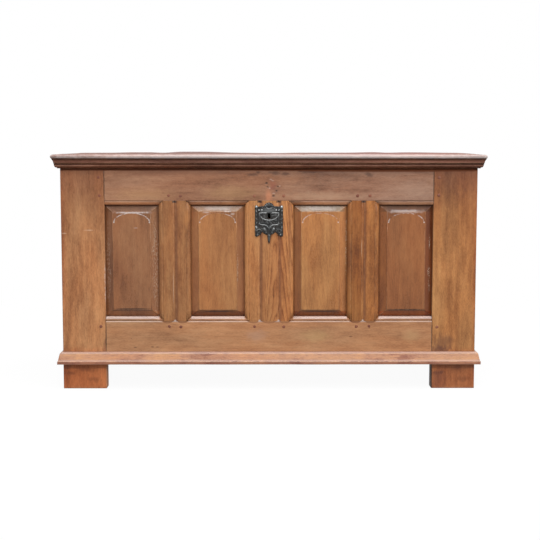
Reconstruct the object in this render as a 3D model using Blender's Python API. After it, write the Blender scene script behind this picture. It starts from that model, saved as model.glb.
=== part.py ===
"""A joined oak blanket chest: frame and panel sides, a boarded lid with mouldings, and an iron lock and hinges.

Metres, +Z up, the front faces -Y. The origin is on the floor, under the middle of the chest's bounding box.
"""

import math
from dataclasses import dataclass

import bmesh
import bpy
from mathutils import Matrix, Vector

# Carcass
CARCASS_WIDTH = 1.320
CARCASS_DEPTH = 0.560
CARCASS_HEIGHT = 0.723
STILE_WIDTH = 0.138
STILE_THICKNESS = 0.048
FRONT_THICKNESS = 0.034
SIDE_THICKNESS = 0.030
BACK_THICKNESS = 0.030
TOP_RAIL_HEIGHT = 0.134
BOTTOM_RAIL_HEIGHT = 0.148
BOTTOM_RAIL_LIFT = 0.085

# Muntins, and the grooves scratched along the front ones
FRONT_MUNTIN_WIDTH = 0.102
CENTRE_MUNTIN_WIDTH = 0.156
SIDE_MUNTIN_WIDTH = 0.096
BACK_MUNTIN_WIDTH = 0.090
SCRATCH_WIDTH = 0.007
SCRATCH_DEPTH = 0.004
CENTRE_SCRATCH_OFFSET = 0.030

# Quirked ovolo on the edges of rails and muntins round a panel
EDGE_WIDTH = 0.015
EDGE_DEPTH = 0.0105
QUIRK_WIDTH = 0.003
QUIRK_DEPTH = 0.0025
OVOLO_TOP = 0.001
OVOLO_STEPS = 5
MITRE_SEAT = 0.0008

# Joinery
FIT = 0.0003
GROOVE_LIP = 0.003
GROOVE_WIDTH = 0.009
GROOVE_DEPTH = 0.010
TENON_LENGTH = 0.028
MUNTIN_TENON_LENGTH = 0.042
TENON_THICKNESS = 0.010
TENON_SHOULDER = 0.018
MORTISE_END_GAP = 0.002

# Panels
PANEL_EXPANSION_GAP = 0.002
FIELD_SETBACK = 0.0035
FIELD_STEP = 0.0022
FIELD_ARRIS = 0.0008
FIELD_SIDE_MARGIN = 0.0245
FIELD_END_MARGIN = 0.0205
PANEL_EDGE_INSET = 0.001
ARCH_SIDE_LEDGE = 0.0045
ARCH_RISE = 0.029
ARCH_CROWN_DROP = 0.0045
SPANDREL_DEPTH = 0.0017
ARCH_STEPS = 18

# Floor of the chest
FLOOR_BOARDS = 5
FLOOR_BOARD_THICKNESS = 0.018
FLOOR_GROOVE_DEPTH = 0.010
FLOOR_LIFT = 0.021
FLOOR_BOARD_GAP = 0.001

# Lid
LID_THICKNESS = 0.0265
LID_FRONT_OVERHANG = 0.028
LID_SIDE_OVERHANG = 0.0265
LID_BOARDS = 3
LID_BOARD_GAP = 0.0006
NOSING_RADIUS = 0.0070
NOSING_SWEEP = 135
NOSING_STEPS = 9
NOSING_QUIRK_DEPTH = 0.0034
NOSING_QUIRK_HEIGHT = 0.0012
LID_EDGE_START = 0.0025
LID_EDGE_SLOPE = 0.0085
LID_EDGE_STEPS = 5
LID_MOULDING_HEIGHT = 0.017
LID_MOULDING_PROJECTION = 0.0175
LID_MOULDING_CLEARANCE = 0.0012
LID_MOULDING_FILLET = 0.0024
LID_MOULDING_STEP = 0.0008
LID_MOULDING_OVOLO_RUN = 0.0064
LID_MOULDING_FOOT = 0.0027
LID_MOULDING_FOOT_STEP = 0.0022
BATTEN_WIDTH = 0.060
BATTEN_THICKNESS = 0.022
BATTEN_FROM_END = 0.200
BATTEN_END_GAP = 0.020
BATTEN_CHAMFER = 0.012

# Plinth moulding
PLINTH_LIFT = 0.0805
PLINTH_HEIGHT = 0.0395
PLINTH_PROJECTION = 0.0175
PLINTH_FILLET_HEIGHT = 0.0095
PLINTH_STEP = 0.002
PLINTH_SLOPE_RUN = 0.0045
PLINTH_ROUND_HEIGHT = 0.0090
PLINTH_ROUND_STEPS = 4

# Strap hinges
HINGE_FROM_END = 0.300
KNUCKLE_RADIUS = 0.0065
KNUCKLE_BORE = 0.0031
KNUCKLE_LENGTH = 0.015
KNUCKLE_GAP = 0.0005
KNUCKLE_BACK_GAP = 0.0005
HINGE_PIN_RADIUS = 0.0028
HINGE_PIN_HEAD_RADIUS = 0.0048
HINGE_PIN_HEAD_LENGTH = 0.003
HINGE_PLATE = 0.003
STRAP_LENGTH = 0.330
STRAP_END_WIDTH = 0.026
STRAP_FINIAL_RADIUS = 0.019
BACK_LEAF_HEIGHT = 0.090
BACK_LEAF_END_WIDTH = 0.034
ROUND_STEPS = 24
SMOOTH_ANGLE = 35

# Lock
ESCUTCHEON_THICKNESS = 0.003
ESCUTCHEON_HALF_WIDTH = 0.0445
ESCUTCHEON_TOP = 0.0275
ESCUTCHEON_CREST = 0.0380
ESCUTCHEON_BOTTOM = 0.0700
ESCUTCHEON_TIP = 0.0945
KEYHOLE_DROP = 0.1625
KEYHOLE_WIDTH = 0.0085
KEYHOLE_LENGTH = 0.027
KEYHOLE_STEPS = 10
KEY_PIN_RADIUS = 0.0022
CASE_WIDTH = 0.110
CASE_BACK_ROOM = 0.006
CASE_BELOW_KEYHOLE = 0.032
CASE_TOP_DROP = 0.0325
CASE_WALL = 0.002
CASE_EAR = 0.014
HASP_SETBACK = 0.020
HASP_THICKNESS = 0.005
HASP_WIDTH = 0.016
HASP_LENGTH = 0.080
HASP_FOOT = 0.005
HASP_EYE_CLEARANCE = 0.002
HASP_EYE_HEIGHT = 0.0155
HASP_PLATE_WIDTH = 0.040
HASP_PLATE_THICKNESS = 0.0025
HASP_SWING = 0.010
BOLT_THICKNESS = 0.004
BOLT_TRAVEL = 0.012
BOLT_MOUTH_CLEARANCE = 0.0025
BOLT_NOTCH_CLEARANCE = 0.0025
BOLT_FINGER_HEIGHT = 0.010
BOLT_FLOOR_HEIGHT = 0.008
BOLT_REACH = 0.004
BOLT_ARM_WIDTH = 0.022
BOLT_TALON_WIDTH = 0.010
BOLT_TALON_DEPTH = 0.010
BOLT_ARM_END = 0.0195

# How far a cutting shape runs past the face that it cuts
PAST = 0.004

# Places worked out from the sizes above
BARREL = KNUCKLE_BACK_GAP + 2 * KNUCKLE_RADIUS
FRONT = (LID_FRONT_OVERHANG - CARCASS_DEPTH - BARREL) / 2
BACK = FRONT + CARCASS_DEPTH
HALF_WIDTH = CARCASS_WIDTH / 2
OPENING_LOW = BOTTOM_RAIL_LIFT + BOTTOM_RAIL_HEIGHT
OPENING_HIGH = CARCASS_HEIGHT - TOP_RAIL_HEIGHT
OPENING_HEIGHT = OPENING_HIGH - OPENING_LOW
GROOVE_SETBACK = EDGE_DEPTH + GROOVE_LIP
MITRE_DEPTH = EDGE_DEPTH + MITRE_SEAT
FLOOR_TOP = BOTTOM_RAIL_LIFT + FLOOR_LIFT + FLOOR_BOARD_THICKNESS
HINGE_AXIS = Vector((0, BACK + KNUCKLE_BACK_GAP + KNUCKLE_RADIUS, CARCASS_HEIGHT - FIT - HINGE_PLATE / 2))
HINGE_OFFSET = HALF_WIDTH - HINGE_FROM_END
BATTEN_OFFSET = HALF_WIDTH - BATTEN_FROM_END
KEYHOLE_HEIGHT = CARCASS_HEIGHT - KEYHOLE_DROP
HASP_Y = FRONT + FRONT_THICKNESS + HASP_SETBACK
HASP_LOW = CARCASS_HEIGHT - HASP_LENGTH
CASE_DEPTH = HASP_SETBACK + HASP_WIDTH / 2 + CASE_BACK_ROOM + CASE_WALL
BOLT_MOUTH = HASP_THICKNESS + 2 * BOLT_MOUTH_CLEARANCE
HASP_EYE_WIDTH = BOLT_THICKNESS + 2 * HASP_EYE_CLEARANCE

OAK = (0.36, 0.18, 0.075)
LID_OAK = (0.30, 0.15, 0.085)
INNER_OAK = (0.42, 0.27, 0.15)
IRON = (0.030, 0.031, 0.032)


def clear_scene():
    """Removes whatever the open file holds."""
    for old in list(bpy.data.objects):
        bpy.data.objects.remove(old)


def material(name, colour, roughness, metallic=0.0):
    """A plain Principled material."""
    made = bpy.data.materials.new(name)
    made.use_nodes = True
    shader = made.node_tree.nodes["Principled BSDF"]
    shader.inputs["Base Color"].default_value = (*colour, 1)
    shader.inputs["Roughness"].default_value = roughness
    shader.inputs["Metallic"].default_value = metallic
    return made


def empty(name, location, turn=0.0):
    """A pivot or a frame's own axes, turned about Z."""
    made = bpy.data.objects.new(name, None)
    made.location = location
    made.rotation_euler = (0, 0, turn)
    bpy.context.collection.objects.link(made)
    return made


def place(name, mesh, finish, parent, location=(0, 0, 0), smooth=False):
    """One named piece of the chest, at a place in its parent's axes."""
    made = bpy.data.objects.new(name, mesh)
    if not mesh.materials:
        mesh.materials.append(finish)
    if smooth:
        mesh.shade_smooth()
        mesh.set_sharp_from_angle(angle=math.radians(SMOOTH_ANGLE))
    made.parent = parent
    made.location = location
    bpy.context.collection.objects.link(made)
    return made


def boxes(*corners):
    """Closed boxes, each given by two opposite corners in any order."""
    made = bmesh.new()
    for low, high in corners:
        low, high = Vector(low), Vector(high)
        size = Matrix.Diagonal([abs(b - a) for a, b in zip(low, high)]).to_4x4()
        bmesh.ops.create_cube(made, size=1, matrix=Matrix.Translation((low + high) / 2) @ size)
    return made


def prism(outline, axis, low, high, slant=(0, 0)):
    """A closed outline extruded along an axis from low to high.

    The outline holds the other two coordinates in X, Y, Z order. Each end leans along the axis by its slant
    times the outline's first coordinate, which makes a mitre.
    """
    first, second = [i for i in range(3) if i != axis]
    rings = []
    for level, lean in zip((low, high), slant):
        ring = []
        for across, up in outline:
            point = Vector((0, 0, 0))
            point[axis] = level + lean * across
            point[first], point[second] = across, up
            ring.append(point)
        rings.append(ring)
    return loft(rings)


def loft(rings):
    """Closed rings of as many points each, joined in order and capped at both ends."""
    made = bmesh.new()
    rows = [[made.verts.new(point) for point in ring] for ring in rings]
    count = len(rings[0])
    for lower, upper in zip(rows, rows[1:]):
        for i in range(count):
            j = (i + 1) % count
            made.faces.new((lower[i], lower[j], upper[j], upper[i]))
    made.faces.new(rows[0])
    made.faces.new(rows[-1])
    bmesh.ops.recalc_face_normals(made, faces=made.faces)
    return made


def tube(radius, low, high, across, up, bore=None):
    """A round bar along X about the line at (across, up), or a tube where a bore is given."""
    made = bmesh.new()
    turn = Matrix.Rotation(math.pi / 2, 4, "Y")
    centre = Matrix.Translation(((low + high) / 2, across, up))
    bmesh.ops.create_cone(
        made, cap_ends=True, segments=ROUND_STEPS, radius1=radius, radius2=radius,
        depth=high - low, matrix=centre @ turn,
    )
    if bore is None:
        return made
    hole = tube(bore, low - PAST, high + PAST, across, up)
    return as_bmesh(carved("knuckle", made, [(hole, "DIFFERENCE")]))


def as_bmesh(mesh):
    """A mesh read back for more work."""
    made = bmesh.new()
    made.from_mesh(mesh)
    bpy.data.meshes.remove(mesh)
    return made


def helper(name, shape):
    """A short-lived object that holds a shape for a Boolean."""
    mesh = bpy.data.meshes.new(name)
    shape.to_mesh(mesh)
    shape.free()
    made = bpy.data.objects.new(name, mesh)
    made.hide_render = True
    made.display_type = "WIRE"
    bpy.context.collection.objects.link(made)
    return made


def carved(name, body, steps=()):
    """The mesh of a body after Boolean steps, each a shape and an operation, in order."""
    base = helper(name, body)
    tools = []
    for shape, operation in steps:
        tools.append(helper(name + "_tool", shape))
        modifier = base.modifiers.new(operation.title(), "BOOLEAN")
        modifier.operation = operation
        modifier.solver = "EXACT"
        modifier.object = tools[-1]
    graph = bpy.context.evaluated_depsgraph_get()
    mesh = bpy.data.meshes.new_from_object(base.evaluated_get(graph))
    for used in (base, *tools):
        left = used.data
        bpy.data.objects.remove(used)
        bpy.data.meshes.remove(left)
    mesh.name = name
    return mesh


def edge_moulding():
    """The quirked ovolo from the panel outwards, as (distance from the panel's edge, depth below the face)."""
    run = EDGE_WIDTH - QUIRK_WIDTH
    points = []
    for i in range(OVOLO_STEPS + 1):
        angle = math.pi / 2 * i / OVOLO_STEPS
        points.append((run * (1 - math.cos(angle)), EDGE_DEPTH - (EDGE_DEPTH - OVOLO_TOP) * math.sin(angle)))
    points.append((EDGE_WIDTH - QUIRK_WIDTH / 3, QUIRK_DEPTH))
    points.append((EDGE_WIDTH, 0.0))
    return points


@dataclass
class Frame:
    """One joined side of the chest, seen from outside: x to the right, y inwards, z up from the floor.

    Its stiles stand outside the clear width. A show frame has moulded edges and fielded panels.
    """

    name: str
    clear_width: float
    thickness: float
    muntins: tuple
    panels: tuple
    show: bool = True
    arched: bool = False

    def panel_width(self):
        """Width of each opening between the stiles and the muntins."""
        taken = sum(width for _, width, _ in self.muntins)
        return (self.clear_width - taken) / len(self.panels)

    def muntin_centres(self):
        """x of the middle of each muntin."""
        centres = []
        left = -self.clear_width / 2
        for _, width, _ in self.muntins:
            left += self.panel_width()
            centres.append(left + width / 2)
            left += width
        return centres

    def panel_centres(self):
        """x of the middle of each panel."""
        centres = []
        left = -self.clear_width / 2
        widths = [width for _, width, _ in self.muntins] + [0.0]
        for width in widths:
            centres.append(left + self.panel_width() / 2)
            left += self.panel_width() + width
        return centres


FRONT_FRAME = Frame(
    "front", CARCASS_WIDTH - 2 * STILE_WIDTH, FRONT_THICKNESS,
    muntins=(
        ("left", FRONT_MUNTIN_WIDTH, (0.0,)),
        ("centre", CENTRE_MUNTIN_WIDTH, (-CENTRE_SCRATCH_OFFSET, CENTRE_SCRATCH_OFFSET)),
        ("right", FRONT_MUNTIN_WIDTH, (0.0,)),
    ),
    panels=("1", "2", "3", "4"), arched=True,
)
BACK_FRAME = Frame(
    "back", CARCASS_WIDTH - 2 * STILE_WIDTH, BACK_THICKNESS,
    muntins=tuple((label, BACK_MUNTIN_WIDTH, ()) for label in ("right", "centre", "left")),
    panels=("1", "2", "3", "4"), show=False,
)
LEFT_FRAME = Frame(
    "left_side", CARCASS_DEPTH - 2 * STILE_THICKNESS, SIDE_THICKNESS,
    muntins=(("centre", SIDE_MUNTIN_WIDTH, ()),), panels=("back", "front"),
)
RIGHT_FRAME = Frame(
    "right_side", CARCASS_DEPTH - 2 * STILE_THICKNESS, SIDE_THICKNESS,
    muntins=(("centre", SIDE_MUNTIN_WIDTH, ()),), panels=("front", "back"),
)


def tenon_depths(gap=0.0):
    """Where a tenon, or its mortise with a gap round it, lies below the frame's face."""
    return GROOVE_SETBACK - gap, GROOVE_SETBACK + TENON_THICKNESS + gap


def rail_mesh(frame, name, height, way, more_cuts=()):
    """A rail with its groove, tenons and mortises. z is 0 at the panel's edge and runs along way from it."""
    half = frame.clear_width / 2
    edge = edge_moulding() if frame.show else [(0.0, 0.0)]
    outline = [(depth, way * along) for along, depth in edge]
    outline += [(0.0, way * height), (frame.thickness, way * height), (frame.thickness, 0.0)]
    body = prism(outline, 0, -half + FIT, half - FIT)

    groove = boxes((
        (-half - PAST, GROOVE_SETBACK, -way * PAST),
        (half + PAST, GROOVE_SETBACK + GROOVE_WIDTH, way * GROOVE_DEPTH),
    ))
    near, far = tenon_depths(FIT)
    mortises, notches = [], []
    for centre, (_, width, _) in zip(frame.muntin_centres(), frame.muntins):
        side = width / 2 - TENON_SHOULDER + FIT
        deep = way * (MUNTIN_TENON_LENGTH + MORTISE_END_GAP)
        mortises.append(((centre - side, near, -way * PAST), (centre + side, far, deep)))
        notches.append(mitre_outline(centre, width / 2, way))
    steps = [(groove, "DIFFERENCE"), (boxes(*mortises), "DIFFERENCE")]
    if frame.show:
        steps += [(prism(notch, 1, -PAST, MITRE_DEPTH + FIT), "DIFFERENCE") for notch in notches]

    near, far = tenon_depths()
    low, high = way * TENON_SHOULDER, way * (height - TENON_SHOULDER)
    tenons = boxes(*(
        ((end * (half - TENON_LENGTH), near, low), (end * (half + TENON_LENGTH), far, high)) for end in (-1, 1)
    ))
    steps.append((tenons, "UNION"))
    steps += [(cut, "DIFFERENCE") for cut in more_cuts]
    return carved(name, body, steps)


def mitre_outline(centre, half, way):
    """The (x, z) space that a mitred muntin takes in a rail's moulded edge, past the panel's edge at z 0."""
    top = EDGE_WIDTH + FIT
    return [
        (centre - half - PAST, -way * PAST), (centre + half + PAST, -way * PAST),
        (centre + half - top, way * top), (centre - half + top, way * top),
    ]


def muntin_mesh(frame, name, width, scratches, more_cuts=()):
    """A muntin with grooved edges and tenons, mitred into the rails' mouldings. z is up from the floor."""
    half = width / 2
    edge = edge_moulding() if frame.show else [(0.0, 0.0)]
    outline = [(-half, frame.thickness)] + [(-half + along, depth) for along, depth in edge]
    for middle in scratches:
        outline += [
            (middle - SCRATCH_WIDTH / 2, 0.0), (middle - SCRATCH_WIDTH / 4, SCRATCH_DEPTH),
            (middle + SCRATCH_WIDTH / 4, SCRATCH_DEPTH), (middle + SCRATCH_WIDTH / 2, 0.0),
        ]
    outline += [(half - along, depth) for along, depth in reversed(edge)] + [(half, frame.thickness)]
    reach = EDGE_WIDTH if frame.show else -FIT
    body = prism(outline, 2, OPENING_LOW - reach, OPENING_HIGH + reach)

    steps = []
    if frame.show:
        for level, way in ((OPENING_LOW, -1), (OPENING_HIGH, 1)):
            shoulder = boxes((
                (-half - PAST, MITRE_DEPTH, level - way * FIT),
                (half + PAST, frame.thickness + PAST, level + way * (EDGE_WIDTH + PAST)),
            ))
            steps.append((shoulder, "DIFFERENCE"))
            for hand in (-1, 1):
                start, end = half - FIT * math.sqrt(2), EDGE_WIDTH + PAST
                corner = [
                    (hand * (start + PAST), level - way * PAST), (hand * (start - end), level + way * end),
                    (hand * (start + PAST), level + way * end),
                ]
                steps.append((prism(corner, 1, -PAST, MITRE_DEPTH + PAST), "DIFFERENCE"))
    grooves = boxes(*(
        ((hand * (half - GROOVE_DEPTH), GROOVE_SETBACK, OPENING_LOW - EDGE_WIDTH - PAST),
         (hand * (half + PAST), GROOVE_SETBACK + GROOVE_WIDTH, OPENING_HIGH + EDGE_WIDTH + PAST))
        for hand in (-1, 1)
    ))
    near, far = tenon_depths()
    side = half - TENON_SHOULDER
    tenons = boxes(*(
        ((-side, near, level - MUNTIN_TENON_LENGTH), (side, far, level + MUNTIN_TENON_LENGTH))
        for level in (OPENING_LOW, OPENING_HIGH)
    ))
    steps += [(grooves, "DIFFERENCE"), (tenons, "UNION")]
    steps += [(cut, "DIFFERENCE") for cut in more_cuts]
    return carved(name, body, steps)


def rectangle(half_x, half_z, depth):
    """Four corners of an upright rectangle at a depth below the frame's face."""
    corners = ((-1, -1), (1, -1), (1, 1), (-1, 1))
    return [(x * half_x, depth, z * half_z) for x, z in corners]


def panel_mesh(frame, name):
    """A panel about its own middle: a tongue all round and, on a show frame, a bevel up to a raised field."""
    half_x, half_z = frame.panel_width() / 2, OPENING_HEIGHT / 2
    tongue = GROOVE_DEPTH - PANEL_EXPANSION_GAP
    near, far = GROOVE_SETBACK + FIT, GROOVE_SETBACK + GROOVE_WIDTH - FIT
    rings = [rectangle(half_x + tongue, half_z + tongue, depth) for depth in (far, near)]
    if not frame.show:
        return carved(name, loft(rings))
    field_x, field_z = half_x - FIELD_SIDE_MARGIN, half_z - FIELD_END_MARGIN
    rings += [
        rectangle(half_x - PANEL_EDGE_INSET, half_z - PANEL_EDGE_INSET, near),
        rectangle(field_x, field_z, FIELD_SETBACK + FIELD_STEP),
        rectangle(field_x - FIELD_ARRIS, field_z - FIELD_ARRIS, FIELD_SETBACK),
    ]
    steps = []
    if frame.arched:
        spandrels = prism(spandrel_outline(field_x, field_z), 1, -PAST, FIELD_SETBACK + SPANDREL_DEPTH)
        steps.append((spandrels, "DIFFERENCE"))
    return carved(name, loft(rings), steps)


def spandrel_outline(field_x, field_z):
    """The (x, z) outline above the arch of a raised field, an ellipse between two small ledges."""
    crown = field_z - ARCH_CROWN_DROP
    spring = crown - ARCH_RISE
    half = field_x - ARCH_SIDE_LEDGE
    points = [(-field_x - PAST, field_z + PAST), (-field_x - PAST, spring)]
    for i in range(ARCH_STEPS + 1):
        angle = math.pi * (1 - i / ARCH_STEPS)
        points.append((half * math.cos(angle), spring + ARCH_RISE * math.sin(angle)))
    points += [(field_x + PAST, spring), (field_x + PAST, field_z + PAST)]
    return points


def stile_mesh(frame, name, hand):
    """A corner stile in its frame's axes, on the left (-1) or right (1), worked for both of its frames."""
    inner, outer = frame.clear_width / 2, frame.clear_width / 2 + STILE_WIDTH
    body = boxes(((hand * inner, 0, 0), (hand * outer, STILE_THICKNESS, CARCASS_HEIGHT)))
    low, high = OPENING_LOW - GROOVE_DEPTH, OPENING_HIGH + GROOVE_DEPTH
    groove_far = GROOVE_SETBACK + GROOVE_WIDTH
    near, far = tenon_depths(FIT)
    deep = TENON_LENGTH + MORTISE_END_GAP
    rails = (
        (OPENING_HIGH + TENON_SHOULDER - FIT, CARCASS_HEIGHT - TENON_SHOULDER + FIT),
        (BOTTOM_RAIL_LIFT + TENON_SHOULDER - FIT, OPENING_LOW - TENON_SHOULDER + FIT),
    )
    grooves = boxes(
        ((hand * (inner - PAST), GROOVE_SETBACK, low), (hand * (inner + GROOVE_DEPTH), groove_far, high)),
        ((hand * (outer - GROOVE_SETBACK), STILE_THICKNESS - GROOVE_DEPTH, low),
         (hand * (outer - groove_far), STILE_THICKNESS + PAST, high)),
    )
    mortises = []
    for foot, head in rails:
        mortises.append(((hand * (inner - PAST), near, foot), (hand * (inner + deep), far, head)))
        edge, heart = hand * (outer - near), hand * (outer - far)
        mortises.append(((edge, STILE_THICKNESS - deep, foot), (heart, STILE_THICKNESS + PAST, head)))
    return carved(name, body, [(grooves, "DIFFERENCE"), (boxes(*mortises), "DIFFERENCE")])


def floor_groove(frame, height):
    """The groove in a bottom rail's inner face for the floor boards' ends. z is 0 at the panel's edge."""
    half = frame.clear_width / 2 + PAST
    low = FLOOR_LIFT - height - FIT
    return boxes((
        (-half, frame.thickness - FLOOR_GROOVE_DEPTH, low),
        (half, frame.thickness + PAST, low + FLOOR_BOARD_THICKNESS + 2 * FIT),
    ))


def hinge_notches():
    """The gains in the top edge of the back rail for the hinge straps. z is 0 at the panel's edge."""
    half = 1.5 * KNUCKLE_LENGTH + KNUCKLE_GAP + FIT
    low = TOP_RAIL_HEIGHT - HINGE_PLATE - 3 * FIT
    return boxes(*(
        ((x - half, -PAST, low), (x + half, BACK_THICKNESS + PAST, TOP_RAIL_HEIGHT + PAST))
        for x in (-HINGE_OFFSET, HINGE_OFFSET)
    ))


def keyhole_outline(gap=0.0):
    """The (x, z) outline of the keyhole: a slot with a round head and a square foot."""
    half = KEYHOLE_WIDTH / 2 + gap
    head = KEYHOLE_HEIGHT + KEYHOLE_LENGTH / 2 - KEYHOLE_WIDTH / 2
    points = [(half, KEYHOLE_HEIGHT - KEYHOLE_LENGTH / 2 - gap)]
    for i in range(KEYHOLE_STEPS + 1):
        angle = math.pi * i / KEYHOLE_STEPS
        points.append((half * math.cos(angle), head + half * math.sin(angle)))
    points.append((-half, KEYHOLE_HEIGHT - KEYHOLE_LENGTH / 2 - gap))
    return points


def keyhole_cut(level):
    """The keyhole right through the front, for a piece whose own z starts at this level."""
    outline = [(x, z - level) for x, z in keyhole_outline(FIT)]
    return prism(outline, 1, -PAST, FRONT_THICKNESS + PAST)


def build_frame(frame, axes, finish, panel_finish):
    """Places the rails, muntins and panels of one side."""
    bottom_cuts = [floor_groove(frame, BOTTOM_RAIL_HEIGHT)] if frame in (FRONT_FRAME, BACK_FRAME) else []
    top_cuts = []
    if frame is BACK_FRAME:
        top_cuts.append(hinge_notches())
    if frame is FRONT_FRAME:
        top_cuts.append(keyhole_cut(OPENING_HIGH))
    top = rail_mesh(frame, frame.name + "_top_rail", TOP_RAIL_HEIGHT, 1, top_cuts)
    place(frame.name + "_top_rail", top, finish, axes, (0, 0, OPENING_HIGH))
    bottom = rail_mesh(frame, frame.name + "_bottom_rail", BOTTOM_RAIL_HEIGHT, -1, bottom_cuts)
    place(frame.name + "_bottom_rail", bottom, finish, axes, (0, 0, OPENING_LOW))
    for centre, (label, width, scratches) in zip(frame.muntin_centres(), frame.muntins):
        keyed = frame is FRONT_FRAME and label == "centre"
        cuts = [keyhole_cut(0.0)] if keyed else []
        name = frame.name + "_muntin_" + label
        place(name, muntin_mesh(frame, name, width, scratches, cuts), finish, axes, (centre, 0, 0))
    shared = panel_mesh(frame, frame.name + "_panel")
    middle = (OPENING_LOW + OPENING_HIGH) / 2
    for centre, label in zip(frame.panel_centres(), frame.panels):
        place(frame.name + "_panel_" + label, shared, panel_finish, axes, (centre, 0, middle))


def build_stiles(axes, back_axes, finish):
    """Places the four corner stiles, which run to the floor as feet."""
    for frame, parent, left in ((FRONT_FRAME, axes, -1), (BACK_FRAME, back_axes, 1)):
        for hand, label in ((left, "left"), (-left, "right")):
            name = f"{frame.name}_stile_{label}"
            place(name, stile_mesh(frame, name, hand), finish, parent)


def build_floor(finish):
    """Places the floor boards, which lie in the rails' grooves and are notched round the stiles."""
    inner = HALF_WIDTH - SIDE_THICKNESS - FLOOR_BOARD_GAP
    width = 2 * inner / FLOOR_BOARDS
    front = FRONT + FRONT_THICKNESS - FLOOR_GROOVE_DEPTH + FIT
    back = BACK - BACK_THICKNESS + FLOOR_GROOVE_DEPTH - FIT
    stile_x = HALF_WIDTH - STILE_WIDTH - FLOOR_BOARD_GAP
    stile_front = FRONT + STILE_THICKNESS + FLOOR_BOARD_GAP
    stile_back = BACK - STILE_THICKNESS - FLOOR_BOARD_GAP
    for i in range(FLOOR_BOARDS):
        left = -inner + i * width + FLOOR_BOARD_GAP / 2
        right = left + width - FLOOR_BOARD_GAP
        body = boxes(((left, front, 0), (right, back, FLOOR_BOARD_THICKNESS)))
        corners = boxes(*(
            ((side * stile_x, near, -PAST), (side * (HALF_WIDTH + PAST), far, FLOOR_BOARD_THICKNESS + PAST))
            for side in (-1, 1) for near, far in ((front - PAST, stile_front), (stile_back, back + PAST))
        ))
        name = f"floor_board_{i + 1}"
        board = carved(name, body, [(corners, "DIFFERENCE")])
        place(name, board, finish, None, (0, 0, FLOOR_TOP - FLOOR_BOARD_THICKNESS))


def lid_edge():
    """The moulded edge of the lid boards as (inset from the widest, drop below the top), from the top down."""
    points = []
    for i in range(NOSING_STEPS + 1):
        angle = math.radians(NOSING_SWEEP) * i / NOSING_STEPS
        points.append((NOSING_RADIUS * (1 - math.sin(angle)), NOSING_RADIUS * (1 - math.cos(angle))))
    under = points[-1][1]
    ledge = under + NOSING_QUIRK_HEIGHT
    points += [(NOSING_QUIRK_DEPTH, under), (NOSING_QUIRK_DEPTH, ledge)]
    for i in range(LID_EDGE_STEPS + 1):
        share = i / LID_EDGE_STEPS
        hollow = 1 - (1 - share) ** 2
        inset = LID_EDGE_START + (LID_EDGE_SLOPE - LID_EDGE_START) * hollow
        points.append((inset, ledge + (LID_THICKNESS - ledge) * share))
    return points


def build_lid_boards(pivot, finish):
    """Places the lid boards, cut from one slab whose moulded edge runs round the front and both ends."""
    half = HALF_WIDTH + LID_SIDE_OVERHANG
    front = FRONT - LID_FRONT_OVERHANG
    rings = []
    for inset, drop in lid_edge():
        z = LID_THICKNESS - drop
        rings.append([
            (-half + inset, front + inset, z), (half - inset, front + inset, z),
            (half - inset, BACK, z), (-half + inset, BACK, z),
        ])
    width = (BACK - front) / LID_BOARDS
    for i, label in enumerate(("front", "middle", "back")):
        slab = loft(rings)
        for level, way in ((front + i * width, -1), (front + (i + 1) * width, 1)):
            if (way < 0 and i == 0) or (way > 0 and i == LID_BOARDS - 1):
                continue
            whole = slab.verts[:] + slab.edges[:] + slab.faces[:]
            cut = bmesh.ops.bisect_plane(
                slab, geom=whole, plane_co=(0, level - way * LID_BOARD_GAP / 2, 0),
                plane_no=(0, way, 0), clear_outer=True,
            )
            rim = [item for item in cut["geom_cut"] if isinstance(item, bmesh.types.BMEdge)]
            bmesh.ops.contextual_create(slab, geom=rim)
        bmesh.ops.recalc_face_normals(slab, faces=slab.faces)
        name = f"lid_board_{label}"
        place(name, carved(name, slab), finish, pivot, Vector((0, 0, CARCASS_HEIGHT)) - HINGE_AXIS)


def lid_moulding_outline():
    """The section of the moulding under the lid's overhang, as (projection from the carcass, height)."""
    top, out = LID_MOULDING_HEIGHT - FIT, LID_MOULDING_PROJECTION
    shoulder = top - LID_MOULDING_FILLET
    points = [(LID_MOULDING_CLEARANCE, top), (out, top), (out, shoulder)]
    start = out - LID_MOULDING_STEP
    for i in range(OVOLO_STEPS + 1):
        angle = math.pi / 2 * i / OVOLO_STEPS
        across = start - LID_MOULDING_OVOLO_RUN * (1 - math.cos(angle))
        points.append((across, shoulder - (shoulder - LID_MOULDING_FOOT) * math.sin(angle)))
    foot = start - LID_MOULDING_OVOLO_RUN - LID_MOULDING_FOOT_STEP
    points += [(foot, LID_MOULDING_FOOT), (foot, 0.0), (LID_MOULDING_CLEARANCE, 0.0)]
    return points


def plinth_outline():
    """The section of the plinth moulding, as (projection from the carcass, height)."""
    slope = PLINTH_PROJECTION - PLINTH_STEP
    shoulder = slope - PLINTH_SLOPE_RUN
    rise = PLINTH_HEIGHT - PLINTH_ROUND_HEIGHT
    points = [
        (FIT, 0.0), (PLINTH_PROJECTION, 0.0), (PLINTH_PROJECTION, PLINTH_FILLET_HEIGHT),
        (slope, PLINTH_FILLET_HEIGHT + PLINTH_STEP),
    ]
    for i in range(PLINTH_ROUND_STEPS + 1):
        angle = math.pi / 2 * i / PLINTH_ROUND_STEPS
        points.append((FIT + (shoulder - FIT) * math.cos(angle), rise + PLINTH_ROUND_HEIGHT * math.sin(angle)))
    return points


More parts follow.
